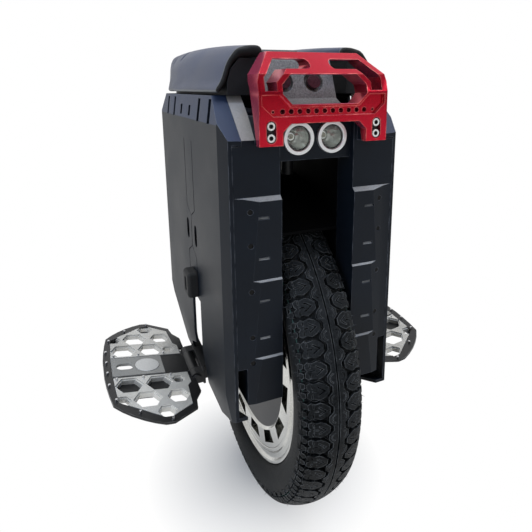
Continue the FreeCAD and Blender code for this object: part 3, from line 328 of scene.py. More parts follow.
def block_pattern(outline, sipes, open_ends=False):
    # Flat pattern of one tread block: top triangles and the edges that get walls.
    loops = [cut_finer(outline, outline_step)] + [cut_finer(sipe, sipe_step) for sipe in sipes]
    points, edges = [], []
    for loop in loops:
        start = len(points)
        points += loop
        edges += [(start + i, start + (i + 1) % len(loop)) for i in range(len(loop))]
    low = [min(p[i] for p in loops[0]) for i in (0, 1)]
    high = [max(p[i] for p in loops[0]) for i in (0, 1)]
    fill = []
    for i in range(1, int((high[0] - low[0]) / fill_step)):
        for j in range(1, int((high[1] - low[1]) / fill_step)):
            spot = (low[0] + fill_step * i, low[1] + fill_step * j)
            clear = min(math.hypot(spot[0] - p[0], spot[1] - p[1]) for p in points) > fill_clearance
            if clear and inside(spot, loops[0]):
                fill.append(spot)
    made = delaunay_2d_cdt([Vector(p) for p in points + fill], edges, [], inside_only, join_gap)
    spots = [(v.x, v.y) for v in made[0]]
    tops = []
    for face in made[2]:
        middle = [sum(spots[i][k] for i in face) / len(face) for k in (0, 1)]
        if inside(middle, loops[0]) and not any(inside(middle, hole) for hole in loops[1:]):
            tops.append(face)
    sides = dict.fromkeys(pair for face in tops for pair in zip(face, face[1:] + face[:1]))
    rims = [(a, b) for a, b in sides if (b, a) not in sides]
    if open_ends:
        ends = {i for i, spot in enumerate(spots) if min(spot[0] - low[0], high[0] - spot[0]) < end_gap}
        rims = [(a, b) for a, b in rims if not (a in ends and b in ends)]
    return spots, tops, rims


block_sink = 0.4


def set_block(pattern, turn, side, verts, faces, inks):
    # Bends a flat pattern round the wheel; its walls reach a little into the carcass.
    spots, tops, rims = pattern
    first = len(verts)
    for t, s in spots:
        verts.append(on_wheel(*tread_point(side * s, 0.0), turn + t / wheel_radius))
    for t, s in spots:
        verts.append(on_wheel(*tread_point(side * s, floor_depth(s) + block_sink), turn + t / wheel_radius))
    count = len(spots)
    order = 1 if side > 0 else -1
    for face in tops:
        faces.append(tuple(first + i for i in face)[::order])
        inks.append(0)
    for a, b in rims:
        faces.append((first + a, first + a + count, first + b + count, first + b)[::order])
        inks.append(0)


def arc_slot(centre, radius, width, spread_deg, step_deg=20):
    turns = [math.radians(a) for a in range(-spread_deg, spread_deg + 1, step_deg)]
    inner = radius - width
    rim = [(centre[0] + radius * math.sin(a), centre[1] + radius * math.cos(a)) for a in turns]
    hub = [(centre[0] + inner * math.sin(a), centre[1] + inner * math.cos(a)) for a in turns]
    return rim + hub[::-1]


def along_tread(points):
    # Outlines are drawn with shares of the pitch along the tread and mm across it.
    return [(share * pitch, s) for share, s in points]


rib_split = 1.1
rib_edge = 7.4
rib_tooth = 13.0
rib = block_pattern(
    along_tread([(0, rib_split), (1, rib_split), (1, rib_edge), (0.86, rib_edge), (0.64, rib_tooth),
                 (0.36, rib_tooth), (0.14, rib_edge), (0, rib_edge)]),
    [arc_slot((0.5 * pitch, 4.4), radius=5.6, width=0.9, spread_deg=80)], open_ends=True)
shoulder = block_pattern(
    along_tread([(-0.15, 11.8), (0.15, 11.8), (0.33, 17.2), (0.43, 23), (0.36, 29.0), (0.42, 34),
                 (0.31, 38.4), (0.09, 37.4), (0, 34.6), (-0.09, 37.4), (-0.31, 38.4), (-0.42, 34),
                 (-0.36, 29.0), (-0.43, 23), (-0.33, 17.2)]),
    [[(-5.6, 24.4), (0, 15.6), (5.6, 24.4), (4.4, 25.3), (0, 18.2), (-4.4, 25.3)],
     [(-0.6, 25.5), (0.6, 25.5), (0.6, 31.5), (-0.6, 31.5)],
     [(3.2, 30.6), (8.4, 31.4), (8.4, 32.6), (3.2, 31.8)],
     [(-8.4, 31.4), (-3.2, 30.6), (-3.2, 31.8), (-8.4, 32.6)]])
finger = block_pattern(
    along_tread([(-0.1, 39.6), (0.09, 39.9), (0.17, 43), (0.15, 46.8), (-0.13, 46.8), (-0.14, 42)]), [])
lug = block_pattern(along_tread([(-0.3, 48.8), (0.3, 48.8), (0.26, 55.5), (-0.26, 55.5)]), [])
finger_shift = 0.24 * pitch
verts, faces, inks = [], [], []
turned_carcass(verts, faces, inks)
for i in range(tread_count):
    turn = 2 * math.pi * i / tread_count
    for side in (-1, 1):
        set_block(rib, turn, side, verts, faces, inks)
        set_block(shoulder, turn, side, verts, faces, inks)
        for shift in (-finger_shift, finger_shift):
            set_block(finger, turn + shift / wheel_radius, side, verts, faces, inks)
        set_block(lug, turn, side, verts, faces, inks)
hair_count = tread_count * 3
hair_jitter = 0.7
hair_rows = (26.0, 40.0, 50.5, 53.0)
hair_root = 0.5
hair_lengths = (2.5, 5.0)
hair_lean = 1.2
hair_radius = 0.35
askew = Vector((1, 0.2, 0.1))
draw = random.Random(18)
for i in range(hair_count):
    # Thin moulding hairs on the shoulders and the upper sidewall.
    turn = 2 * math.pi * (i + draw.random() * hair_jitter) / hair_count
    for side in (-1, 1):
        s = side * draw.choice(hair_rows)
        foot = on_wheel(*tread_point(s, hair_root), turn)
        tip = on_wheel(*tread_point(s, -draw.uniform(*hair_lengths)), turn)
        lean = Vector([draw.uniform(-1, 1) for axis in range(3)]) * hair_lean * mm
        across = (tip - foot).cross(askew).normalized() * hair_radius * mm
        beyond = (tip - foot).cross(across).normalized() * hair_radius * mm
        k = len(verts)
        verts += [foot + across, foot - across * 0.5 + beyond, foot - across * 0.5 - beyond, tip + lean]
        faces += [(k, k + 1, k + 3), (k + 1, k + 2, k + 3), (k + 2, k, k + 3)]
        inks += [0, 0, 0]
mesh = bpy.data.meshes.new("tyre_tread")
mesh.from_pydata(verts, [], faces)
mesh.polygons.foreach_set("material_index", inks)
# The light grey on the blocks' edges is a painted highlight, standing in for light caught on them.
tyre_rubber = finish("tyre rubber", dark=(0.0012, 0.0018, 0.0022), light=(0.021, 0.0225, 0.0235),
                     grain=0.0018, relief=1.0, rough=(0.36, 0.6),
                     wear_and_highlight_colour=(0.15, 0.153, 0.153), wear_and_highlight=0.9, wear_and_highlight_radius=0.0012, wear_and_highlight_full=0.9,
                     specular_ior_level=0.05)
line_paint = finish("tyre line paint", dark=(0.006, 0.05, 0.04), light=(0.01, 0.09, 0.07),
                    grain=0.001, relief=0.1, rough=(0.5, 0.6))
mesh.materials.append(tyre_rubber)
mesh.materials.append(line_paint)
tyre = bpy.data.objects.new("tyre_tread", mesh)
scene.collection.objects.link(tyre)
tread_crease = 38
mesh.shade_smooth()
mesh.set_sharp_from_angle(angle=math.radians(tread_crease))
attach(tyre, "wheel")
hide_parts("tyre")


# Inner frame and pedal hangers
# Two folded steel plates joined by the wheel arch carry everything, with a machined
# hanger bolted to each. They are powder coated black, slightly orange-peeled.

powder_black = finish("powder black", dark=(0.006, 0.006, 0.0065), light=(0.01, 0.01, 0.011),
                      grain=0.0016, relief=0.35, rough=(0.4, 0.55),
                      wear_and_highlight_colour=(0.2, 0.2, 0.2), wear_and_highlight=0.5, specular_ior_level=0.35)
arch_black = finish("arch black", dark=(0.001, 0.001, 0.0012), light=(0.0022, 0.0022, 0.0025),
                    grain=0.0016, relief=0.3, rough=(0.6, 0.75), specular_ior_level=0.06)
dress(arch_black, "wheel_arch")
dress(powder_black, *both("pedal_hanger"), "hinge_pins", rounding=0.0008)


# Columns, cross-pieces and side panels
# Moulded in black glass-filled nylon with a fine spark-eroded grain. The panels clip over
# the columns' flanges, and small screws, painted near-black as shade, hold the columns.

# Limits are in mm; a rise or a lean is the part of a face's normal that points up or to the back.
brow_foot = 570.0
brow_inner = 76.2
brow_back = -135.0
brow_rise = 0.4
ledge_top = 556.0
ledge_rise = 0.3
ledge_lean = -0.2
facet_foot = 560.0
facet_least_rise, facet_most_rise = 0.1, 0.95
score_floor, score_mouth = 110.9, 112.3
score_foot, score_top = 360.0, 570.0
score_reach = 60.0


def on_brow(at, way):
    return at.z > brow_foot and way.z > brow_rise and abs(at.x) > brow_inner and at.y < brow_back


def on_ledge(at, way):
    return at.z < ledge_top and way.z > ledge_rise and way.y < ledge_lean


def on_upper_facet(at, way):
    return at.z > facet_foot and facet_least_rise < way.z < facet_most_rise


def in_scored_line(at, way):
    deep = score_floor < abs(at.x) < score_mouth
    return deep and score_foot < at.z < score_top and abs(at.y) < score_reach


# Black moulding: its navy tint is painted bluish reflected light, and its light edge colour a painted
# highlight.
shell_black = finish("shell black", dark=(0.0026, 0.0045, 0.0078), light=(0.005, 0.0084, 0.0142),
                     grain=0.0007, relief=0.3, rough=(0.42, 0.54),
                     wear_and_highlight_colour=(0.13, 0.14, 0.16), wear_and_highlight=0.7, wear_and_highlight_radius=0.0008, wear_and_highlight_full=0.985,
                     specular_ior_level=0.16)
# Painted reflection: a blue tint on the panels' upward facets stands in for the bluish sky they reflect.
shell_painted_sheen = finish("shell painted sheen", dark=(0.011, 0.02, 0.047), light=(0.019, 0.033, 0.072),
                     grain=0.0007, relief=0.3, rough=(0.42, 0.54),
                     wear_and_highlight_colour=(0.13, 0.15, 0.19), wear_and_highlight=0.7, wear_and_highlight_radius=0.0008, wear_and_highlight_full=0.97,
                     specular_ior_level=0.25)
# Painted shade: the scored lines are made near-black inside, as the shade down in them.
groove_painted_shade = finish("groove painted shade", dark=(0.0006, 0.0006, 0.0007), light=(0.0015, 0.0015, 0.0017),
                      grain=0.0007, relief=0.2, rough=(0.6, 0.7), specular_ior_level=0.05)
# Painted highlight: a light grey on the ledges' up- and front-facing faces stands in for overhead light
# catching them.
ledge_painted_highlight = finish("ledge painted highlight", dark=(0.17, 0.172, 0.178), light=(0.36, 0.355, 0.345),
                     grain=0.001, relief=0.5, rough=(0.5, 0.62))
# Painted highlight: a light grey on the up-facing strip atop each column stands in for overhead light.
brow_painted_highlight = finish("brow painted highlight", dark=(0.22, 0.21, 0.195), light=(0.38, 0.365, 0.34),
                   grain=0.0009, relief=0.6, rough=(0.5, 0.65))
# Painted shade and glint: the column screws are near-black like the shade in their holes, with a light rim as
# a painted glint.
screw_shade_and_glint = finish("screw shade and glint", dark=(0.0008, 0.0008, 0.0009), light=(0.002, 0.002, 0.0022),
                    grain=0.0005, relief=0.2, rough=(0.3, 0.45),
                    wear_and_highlight_colour=(0.35, 0.35, 0.35), wear_and_highlight=0.4, wear_and_highlight_radius=0.0005, specular_ior_level=0.15)
dress(shell_black, *both("front_column"), *both("rear_column"), *both("side_panel"),
      rounding=0.0008, crease=8)
dress(shell_black, "front_bridge", "rear_bridge", rounding=0.0006)
tint(brow_painted_highlight, on_brow, *both("front_column"))
tint(ledge_painted_highlight, on_ledge, *both("front_column"))
# Paints the blue reflection onto the panels' upward facets.
tint(shell_painted_sheen, on_upper_facet, *both("side_panel"))
tint(groove_painted_shade, in_scored_line, *both("side_panel"))
dress(screw_shade_and_glint, "column_screws", rounding=0.0004)


# Bumpers
# Black rubber blocks, moulded whole and screwed to the side panels.
# The folded pedals come to rest against them.

bumper_rubber = finish("bumper rubber", dark=(0.006, 0.006, 0.0065), light=(0.012, 0.012, 0.0125),
                       grain=0.001, relief=0.3, rough=(0.55, 0.7), specular_ior_level=0.3)
dress(bumper_rubber, *both("bumper"), rounding=0.0008)


# Headlamps
# A satin turned ring holds a clear lens over a metallised bowl with a yellow emitter on
# its floor. The rings press into the cross-piece.

ring_silver = finish("ring silver", dark=(0.72, 0.72, 0.71), light=(0.84, 0.84, 0.83),
                     grain=0.0009, relief=0.12, rough=(0.35, 0.5), metallic=0.75)
bowl_mirror = finish("bowl mirror", dark=(0.2, 0.21, 0.205), light=(0.66, 0.68, 0.65),
                     grain=0.008, relief=0.3, rough=(0.03, 0.1), metallic=1.0)
emitter_yellow = finish("emitter yellow", dark=(0.2, 0.19, 0.13), light=(0.3, 0.29, 0.22),
                        grain=0.001, relief=0.2, rough=(0.2, 0.3))
lens_clear = finish("lens clear", dark=(0.96, 0.98, 0.98), light=(1.0, 1.0, 1.0),
                    grain=0.01, relief=0.02, rough=(0.02, 0.05), transmission_weight=1.0, ior=1.35)
dress(ring_silver, *both("headlamp_bezel"), rounding=0.0005)
dress(bowl_mirror, *both("headlamp_reflector"))
dress(emitter_yellow, "headlamp_leds", rounding=0.0004)
dress(lens_clear, *both("headlamp_lens"))


# Lift handle and its screws
# Milled from thick aluminium plate and anodised red: broken edges, a shallow pocket, a row
# of holes. Four socket screws in two oblong wells fix it to the columns.

screw_x = 64.4
screw_rows = (582.4, 594.8)
socket_radius = 2.5
well_floor = -200.0
well_floor_gap = 0.2
well_floor_lean = -0.9
well_reach = 5.7


def in_screw_socket(at, way):
    return min(math.hypot(abs(at.x) - screw_x, at.z - row) for row in screw_rows) < socket_radius


def on_well_floor(at, way):
    level = way.y < well_floor_lean and abs(at.y - well_floor) < well_floor_gap
    return level and abs(abs(at.x) - screw_x) < well_reach


# The bright pink-red edge colour is a painted highlight, standing in for lamps caught on the milled edges.
handle_red = finish("handle red", dark=(0.4, 0.003, 0.014), light=(0.5, 0.005, 0.022),
                    grain=0.0005, relief=0.1, rough=(0.15, 0.24),
                    wear_and_highlight_colour=(1.0, 0.3, 0.26), wear_and_highlight=0.9, wear_and_highlight_radius=0.0014, wear_and_highlight_full=0.9, metallic=0.92,
                    coat_weight=0.1, coat_roughness=0.12, sheen_weight=0.7, sheen_roughness=0.4,
                    sheen_tint=(1.0, 0.16, 0.3, 1))
bright_steel = finish("bright steel", dark=(0.66, 0.66, 0.65), light=(0.8, 0.8, 0.79),
                      grain=0.0004, relief=0.1, rough=(0.2, 0.34), metallic=1.0)
# Painted shade: the screws' sockets and the wells' floors are made near-black, as the shade down in them.
socket_painted_shade = finish("socket painted shade", dark=(0.01, 0.01, 0.01), light=(0.03, 0.03, 0.03),
                     grain=0.0005, relief=0.2, rough=(0.4, 0.6), metallic=0.5)
dress(handle_red, "lift_handle", rounding=0.0014, segments=3)
dress(bright_steel, "handle_screws", rounding=0.0004)
tint(socket_painted_shade, in_screw_socket, "handle_screws")
tint(socket_painted_shade, on_well_floor, "lift_handle")


# Console, charging ports and caps
# A dark moulding with a coarse grain, painted a lighter grey that stands in for strong light, slopes up
# behind the handle; two wells hold brass sockets under rubber caps that pull out.

# Partly painted light: the grey is lifted above the moulding's own dark tone, as if strongly lit in the
# handle's shade.
console_grey = finish("console grey", dark=(0.092, 0.089, 0.086), light=(0.29, 0.282, 0.275),
                      grain=0.0017, relief=0.8, rough=(0.5, 0.68),
                      wear_and_highlight_colour=(0.4, 0.4, 0.4), wear_and_highlight=0.5, specular_ior_level=0.35)
socket_brass = finish("socket brass", dark=(0.5, 0.38, 0.16), light=(0.66, 0.54, 0.28),
                      grain=0.0006, relief=0.1, rough=(0.25, 0.4), metallic=1.0)
cap_rubber = finish("cap rubber", dark=(0.03, 0.012, 0.016), light=(0.09, 0.035, 0.045),
                    grain=0.0016, relief=0.5, rough=(0.08, 0.18))
dress(console_grey, "console", rounding=0.001)
dress(socket_brass, "charge_ports", rounding=0.0004)
dress(cap_rubber, *both("charge_cap"), rounding=0.0012, segments=3)


# Deck, power button and trolley handle
# The deck is a black moulding with two seat boxes; the button is gloss black, and the
# trolley grip rides on two drawn tubes in plastic sleeves.

deck_black = finish("deck black", dark=(0.004, 0.0045, 0.0055), light=(0.009, 0.01, 0.012),
                    grain=0.0009, relief=0.4, rough=(0.45, 0.6),
                    wear_and_highlight_colour=(0.14, 0.14, 0.15), wear_and_highlight=0.4, specular_ior_level=0.25)
button_gloss = finish("button gloss", dark=(0.014, 0.014, 0.014), light=(0.02, 0.02, 0.02),
                      grain=0.002, relief=0.02, rough=(0.08, 0.16))
drawn_tube = finish("drawn tube", dark=(0.34, 0.34, 0.35), light=(0.46, 0.46, 0.47),
                    grain=0.0005, relief=0.12, rough=(0.22, 0.35), metallic=1.0)
trim_black = finish("trim black", dark=(0.014, 0.014, 0.015), light=(0.024, 0.024, 0.026),
                    grain=0.0008, relief=0.3, rough=(0.38, 0.55), wear_and_highlight_colour=(0.14, 0.14, 0.14), wear_and_highlight=0.4)
dress(deck_black, "top_deck", rounding=0.0012)
dress(button_gloss, "power_button", rounding=0.001, segments=3)
dress(drawn_tube, "trolley_tubes")
dress(trim_black, "trolley_sleeves")
dress(trim_black, "trolley_grip", rounding=0.0008)


# Seat pads
# Foam saddle flaps in black artificial leather, bent over the seat boxes and sewn to a stiff
# lower hem. Each is swelled as cloth over its foam, then the channel is drawn in.

pad_front, pad_rear = -150.0, 150.0
pad_stations = 25
pad_tuck = 1.8
crown_front, crown_rise, crown_bow = 682.5, 7.5, 3.0
crown_base = 679.5
lift_share = 3
flap_reach, flap_taper = 112.5, 1.0
waist_reach, waist_flare = 101.0, 5.0
end_narrowing = 3.0
rear_square = 12.0


def pad_ring(share, tuck):
    # Section of the pad at a share of its length, drawn in by tuck from the finished skin.
    bow = math.sin(math.pi * share)
    narrow = end_narrowing * (1 - bow)
    crown = crown_front + crown_rise * share + crown_bow * bow - tuck
    flap = flap_reach - narrow - flap_taper * share - tuck
    waist = waist_reach - narrow + waist_flare * share - tuck
    square = rear_square * share
    lift = (crown + tuck - crown_base) / lift_share
    hem = flap - waist
    under = [(50.0, 667.3), (60.0, 667.2), (77.6, 667.2), (83.5, 662.0), (88.6, 655.6), (92.0, 645.0),
             (94.5, 637.5), (99.5, 632.0), (104.0 - narrow, 628.4)]
    outer = [(flap, 629.6), (waist + 0.7 * hem, 634.6), (waist + 0.35 * hem, 639.8), (waist, 648.0 + lift),
             (waist - 2.6 + 0.2 * square, 656.0 + lift), (waist - 5.6 + 0.4 * square, 662.8 + lift),
             (waist - 10.6 + 0.6 * square, crown - 11.0), (84.0 + square - tuck, crown - 5.8),
             (76.0 + 0.8 * square, crown - 2.4), (66.0 + 0.5 * square, crown - 0.5), (59.0, crown),
             (54.0, crown - 0.4), (51.2, crown - 1.8), (50.1, crown - 5.0)]
    y = pad_front + tuck + (pad_rear - pad_front - 2 * tuck) * share
    return [Vector((x, y, z)) * mm for x, z in under + outer]


def foam_block(name, side):
    # The pad's rings, one behind the other, joined to a closed block.
    verts, faces = [], []
    for i in range(pad_stations):
        ring = pad_ring(i / (pad_stations - 1), pad_tuck)
        verts += [Vector((side * v.x, v.y, v.z)) for v in ring]
    width = len(ring)
    for i in range(pad_stations - 1):
        for k in range(width):
            a, b = i * width + k, i * width + (k + 1) % width
            faces.append((a, b, b + width, a + width)[::-side])
    faces.append(tuple(range(width))[::side])
    faces.append(tuple(range((pad_stations - 1) * width, pad_stations * width))[::-side])
    mesh = bpy.data.meshes.new(name)
    mesh.from_pydata(verts, [], faces)
    piece = bpy.data.objects.new(name, mesh)
    scene.collection.objects.link(piece)
    return piece


def off_seat_box(point, side):
    # How far a point stands off the seat box's outline, so the resting side can be held.
    line = [(50.0, 667.3), (77.6, 667.2), (88.6, 655.6), (94.5, 637.5), (104.0, 628.4)]
    x, z = side * point.x / mm, point.z / mm
    best = math.inf
    for (ax, az), (bx, bz) in zip(line, line[1:]):
        length = (bx - ax) ** 2 + (bz - az) ** 2
        share = min(1.0, max(0.0, ((x - ax) * (bx - ax) + (z - az) * (bz - az)) / length))
        best = min(best, math.hypot(x - ax - share * (bx - ax), z - az - share * (bz - az)))
    return best


def apply_all(piece):
    graph = bpy.context.evaluated_depsgraph_get()
    done = bpy.data.meshes.new_from_object(piece.evaluated_get(graph))
    piece.modifiers.clear()
    piece.data = done


# The voxel and the place of the held end are in metres, the other lengths in mm.
skin_voxel = 0.0034
end_hold = -0.1455
firm_hold, soft_hold = 2.6, 4.0
firm_weight, soft_weight = 1.0, 0.5
swell_frames = 20
swell_limit = 2.4


def swell(piece, side):
    # Cloth under a little pressure, held where the pad rests, with the travel of each point capped.
    remesh = piece.modifiers.new("skin", "REMESH")
    remesh.mode = "VOXEL"
    remesh.voxel_size = skin_voxel
    apply_all(piece)
    held = piece.vertex_groups.new(name="held")
    for v in piece.data.vertices:
        off = off_seat_box(v.co, side)
        if v.co.y < end_hold:
            off = 0.0
        if off < soft_hold:
            held.add([v.index], firm_weight if off < firm_hold else soft_weight, "REPLACE")
    start = [v.co.copy() for v in piece.data.vertices]
    cloth = piece.modifiers.new("cloth", "CLOTH")
    cloth.settings.quality = 6
    cloth.settings.mass = 0.3
    cloth.settings.tension_stiffness = 12
    cloth.settings.compression_stiffness = 12
    cloth.settings.bending_stiffness = 0.6
    cloth.settings.use_pressure = True
    cloth.settings.uniform_pressure_force = 3.0
    cloth.settings.effector_weights.gravity = 0.0
    cloth.settings.vertex_group_mass = "held"
    cloth.point_cache.frame_start = 1
    cloth.point_cache.frame_end = swell_frames
    for step in range(1, swell_frames + 1):
        scene.frame_set(step)
    apply_all(piece)
    scene.frame_set(1)
    for v, was in zip(piece.data.vertices, start):
        move = v.co - was
        if move.length > swell_limit * mm:
            v.co = was + move.normalized() * swell_limit * mm
    even = piece.modifiers.new("even", "SMOOTH")
    even.factor = 0.5
    even.iterations = 5
    apply_all(piece)


def cut_line(piece, at, way):
    # A line of points across the skin, so that a seam between two finishes runs straight.
    shape = bmesh.new()
    shape.from_mesh(piece.data)
    every = shape.verts[:] + shape.edges[:] + shape.faces[:]
    bmesh.ops.bisect_plane(shape, geom=every, dist=weld_gap, plane_co=at, plane_no=way)
    shape.to_mesh(piece.data)
    shape.free()


channel_foot = 0.672
channel_fade = 0.01


def draw_in_channel(piece, at, depth, width):
    # A sewn channel across the pad, deepest on its line.
    for v in piece.data.vertices:
        near = abs(v.co.y - at) / width
        high = min(1.0, max(0.0, (v.co.z - channel_foot) / channel_fade))
        if near < 1:
            v.co.z -= depth * high * (1 - near) ** 2


# The end seam bounds the black end; the other two bound the painted highlight band.
end_seam = -143.5
front_highlight_seam = -141.5
hem_highlight_seam = 632.2
hem_highlight_lean = 0.2
# Black leather: its navy tint is painted reflection of bluish light.
pad_leather = finish("pad leather", dark=(0.013, 0.021, 0.05), light=(0.024, 0.036, 0.076),
                     grain=0.0011, relief=0.4, rough=(0.36, 0.48), specular_ior_level=0.26, sheen_weight=0.05)
pad_end_black = finish("pad end black", dark=(0.002, 0.002, 0.0022), light=(0.005, 0.005, 0.0054),
                       grain=0.001, relief=0.4, rough=(0.5, 0.65), specular_ior_level=0.2)
# Painted highlight: a light band on the outward faces under the hem line and along the front corner, standing
# in for light caught on those edges.
pad_edge_highlight = finish("pad edge highlight", dark=(0.05, 0.055, 0.062), light=(0.1, 0.11, 0.12),
                 grain=0.001, relief=0.3, rough=(0.4, 0.55))
for side, name in ((-1, "left"), (1, "right")):
    pad = foam_block("pad_skin_" + name, side)
    swell(pad, side)
    cut_line(pad, at=(0, end_seam * mm, 0), way=(0, 1, 0))
    cut_line(pad, at=(0, front_highlight_seam * mm, 0), way=(0, 1, 0))
    cut_line(pad, at=(0, 0, hem_highlight_seam * mm), way=(0, 0, 1))
    draw_in_channel(pad, at=0.076, depth=0.007, width=0.006)
    for skin in (pad_leather, pad_end_black, pad_edge_highlight):
        pad.data.materials.append(skin)
    for face in pad.data.polygons:
        at, way = face.center / mm, face.normal
        if at.y < end_seam:
            face.material_index = 1
        elif at.y < front_highlight_seam or at.z < hem_highlight_seam and side * way.x > hem_highlight_lean:
            face.material_index = 2
    pad.data.shade_smooth()
    finer = pad.modifiers.new("finer", "SUBSURF")
    finer.levels = finer.render_levels = 1
    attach(pad, "chassis")
    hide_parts("seat_pad_" + name)


# Battery packs, heat sink and control board
# Shrink-wrapped packs fill the sides behind the panels; an extruded sink, as bright as the
# drawn tubes, and its green board sit in the back under the deck.

wrap_blue = finish("wrap blue", dark=(0.002, 0.004, 0.01), light=(0.004, 0.008, 0.018),
                   grain=0.003, relief=0.3, rough=(0.4, 0.55), specular_ior_level=0.15)
board_green = finish("board green", dark=(0.01, 0.1, 0.04), light=(0.02, 0.16, 0.07),
                     grain=0.001, relief=0.2, rough=(0.35, 0.5))
dress(wrap_blue, *both("battery_pack"))
dress(drawn_tube, "heat_sink")
dress(board_green, "controller_board")


# Tail lamp
# One red lens, moulded in clear-coated plastic and seated in the rear cross-piece.
# Its edges are only just broken.

tail_red = finish("tail red", dark=(0.26, 0.004, 0.004), light=(0.4, 0.008, 0.008),
                  grain=0.003, relief=0.1, rough=(0.08, 0.16), coat_weight=0.4)
dress(tail_red, "tail_lamp", rounding=0.0006)


# Pedals
# Each is a milled black frame with two bright honeycomb plates, a grey middle panel with a
# bare disc, and turned steel grip pins.

frame_black = finish("pedal frame black", dark=(0.006, 0.006, 0.0065), light=(0.012, 0.012, 0.013),
                     grain=0.0006, relief=0.25, rough=(0.3, 0.45),
                     wear_and_highlight_colour=(0.35, 0.35, 0.36), wear_and_highlight=0.55, metallic=0.3)
comb_silver = finish("comb silver", dark=(0.42, 0.405, 0.37), light=(0.72, 0.695, 0.64),
                     grain=0.0009, relief=0.15, rough=(0.24, 0.4),
                     wear_and_highlight_colour=(0.95, 0.95, 0.93), wear_and_highlight=0.8, metallic=0.35)
middle_grey = finish("middle grey", dark=(0.22, 0.21, 0.19), light=(0.34, 0.325, 0.295),
                     grain=0.0008, relief=0.35, rough=(0.5, 0.65), wear_and_highlight_colour=(0.5, 0.5, 0.5), wear_and_highlight=0.4)
disc_grey = finish("bare disc", dark=(0.5, 0.5, 0.49), light=(0.62, 0.62, 0.61),
                   grain=0.001, relief=0.08, rough=(0.25, 0.36), metallic=0.6)
dress(frame_black, *both("pedal_frame"), rounding=0.0008)
dress(comb_silver, *both("pedal_plate_front"), *both("pedal_plate_rear"), rounding=0.0007)
dress(middle_grey, *both("pedal_middle"), rounding=0.0006)
dress(disc_grey, *both("pedal_badge"), rounding=0.0005)
dress(ground_steel, *both("pedal_pins"), rounding=0.0003)


# Floor, light and camera
# A plain pale floor that fades to white, soft lamps over and beside the machine, and the
# camera at the photo's angle.

floor_size = 30
fade_start, fade_end = 0.01, 0.2


def seen_rays(tree, rays):
    # Rays that end in a picture of the surface rather than in light on another one.
    seen = rays["Is Camera Ray"]
    for kind in ("Is Glossy Ray", "Is Transmission Ray"):
        seen = add(tree, "ShaderNodeMath", {0: seen, 1: rays[kind]}, operation="MAXIMUM").outputs[0]
    return seen


bpy.ops.mesh.primitive_plane_add(size=floor_size)
floor = bpy.context.object
floor.name = "floor"
pale = bpy.data.materials.new("pale floor")
pale.use_nodes = True
tree = pale.node_tree
tree.nodes.remove(tree.nodes["Principled BSDF"])
paint = add(tree, "ShaderNodeBsdfDiffuse", {"Color": (0.86, 0.86, 0.86, 1)})
glow = add(tree, "ShaderNodeEmission", {"Color": (1, 1, 1, 1), "Strength": 1.0})
place = add(tree, "ShaderNodeTexCoord").outputs["Object"]
away = add(tree, "ShaderNodeVectorMath", {0: place}, operation="LENGTH").outputs["Value"]
far = spread(tree, away, fade_start, fade_end)
rays = add(tree, "ShaderNodeLightPath").outputs
share = add(tree, "ShaderNodeMath", {0: far, 1: seen_rays(tree, rays)}, operation="MULTIPLY").outputs[0]
mixed = add(tree, "ShaderNodeMixShader", {0: share, 1: paint.outputs[0], 2: glow.outputs[0]})
tree.links.new(mixed.outputs[0], tree.nodes["Material Output"].inputs["Surface"])
floor.data.materials.append(pale)

world = bpy.data.worlds.new("studio")
scene.world = world
world.use_nodes = True
tree = world.node_tree
sky = tree.nodes["Background"]
sky.inputs["Color"].default_value = (0.9, 0.95, 1.0, 1)
sky.inputs["Strength"].default_value = 0.42
rays = add(tree, "ShaderNodeLightPath").outputs
way = add(tree, "ShaderNodeTexCoord").outputs["Generated"]
bright_way = (0.25, 0.6, 0.75)
bright_side = add(tree, "ShaderNodeVectorMath", {0: way, 1: bright_way}, operation="DOT_PRODUCT")
dimmed = spread(tree, bright_side.outputs["Value"], low=-0.45, high=0.75, to_low=0.1, to_high=1.0)
straight = {0: rays["Is Camera Ray"], 1: rays["Is Transmission Ray"]}
direct = add(tree, "ShaderNodeMath", straight, operation="MAXIMUM").outputs[0]
level = add(tree, "ShaderNodeMath", {0: direct, 1: dimmed}, operation="MAXIMUM").outputs[0]
white = add(tree, "ShaderNodeBackground", {"Color": (1, 1, 1, 1), "Strength": level})
mixed = add(tree, "ShaderNodeMixShader", {0: seen_rays(tree, rays), 1: sky.outputs[0], 2: white.outputs[0]})
tree.links.new(mixed.outputs[0], tree.nodes["World Output"].inputs["Surface"])


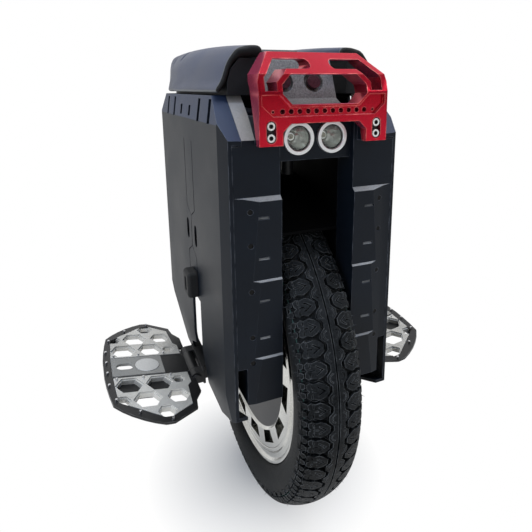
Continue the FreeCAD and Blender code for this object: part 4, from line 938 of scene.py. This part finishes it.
def soft_lamp(name, at, aim, size, watts, colour):
    lamp = bpy.data.lights.new(name, "AREA")
    lamp.shape = "SQUARE"
    lamp.size = size
    lamp.energy = watts
    lamp.color = colour
    holder = bpy.data.objects.new(name, lamp)
    scene.collection.objects.link(holder)
    holder.location = at
    holder.rotation_euler = (Vector(aim) - Vector(at)).to_track_quat("-Z", "Y").to_euler()


soft_lamp("overhead", at=(-0.35, 0.0, 2.4), aim=(0, 0, 0.4), size=1.5, watts=22, colour=(0.9, 0.95, 1.0))
soft_lamp("upper front", at=(0.25, -0.6, 2.4), aim=(0, 0, 0.5), size=0.9, watts=10, colour=(0.34, 0.56, 1.0))
soft_lamp("upper right", at=(1.4, 0.1, 1.5), aim=(0, 0, 0.5), size=1.0, watts=5, colour=(1.0, 0.93, 0.84))
soft_lamp("front left", at=(-1.8, -0.9, 1.3), aim=(0, 0, 0.4), size=1.2, watts=16, colour=(0.7, 0.8, 1.0))
soft_lamp("front right", at=(0.9, -1.5, 1.0), aim=(0, 0, 0.5), size=0.35, watts=1.2, colour=(0.8, 0.9, 1.0))
soft_lamp("upper front right", at=(0.75, -0.6, 2.2), aim=(0, -0.15, 0.6), size=0.5, watts=6,
          colour=(1.0, 0.9, 0.8))

azimuth = math.radians(-22.66)
elevation = math.radians(12.67)
roll = math.radians(-0.5)
camera_place = (-0.24844, -0.65815, 0.63535)
picture_px = 532
focal_px = 470.32
axis_px = (276.65, 192.17)
film_width = 36.0
backward = Vector((math.sin(azimuth) * math.cos(elevation), -math.cos(azimuth) * math.cos(elevation),
                   math.sin(elevation)))
right = (-backward).cross(Vector((0, 0, 1))).normalized()
up = right.cross(-backward)
turned_right = right * math.cos(roll) + up * math.sin(roll)
turned_up = up * math.cos(roll) - right * math.sin(roll)
optics = bpy.data.cameras.new("camera")
optics.sensor_width = film_width
optics.lens = film_width * focal_px / picture_px
optics.shift_x = (picture_px / 2 - axis_px[0]) / picture_px
optics.shift_y = (axis_px[1] - picture_px / 2) / picture_px
camera = bpy.data.objects.new("camera", optics)
scene.collection.objects.link(camera)
stance = Matrix((turned_right, turned_up, backward)).transposed().to_4x4()
camera.matrix_world = Matrix.Translation(camera_place) @ stance
scene.camera = camera
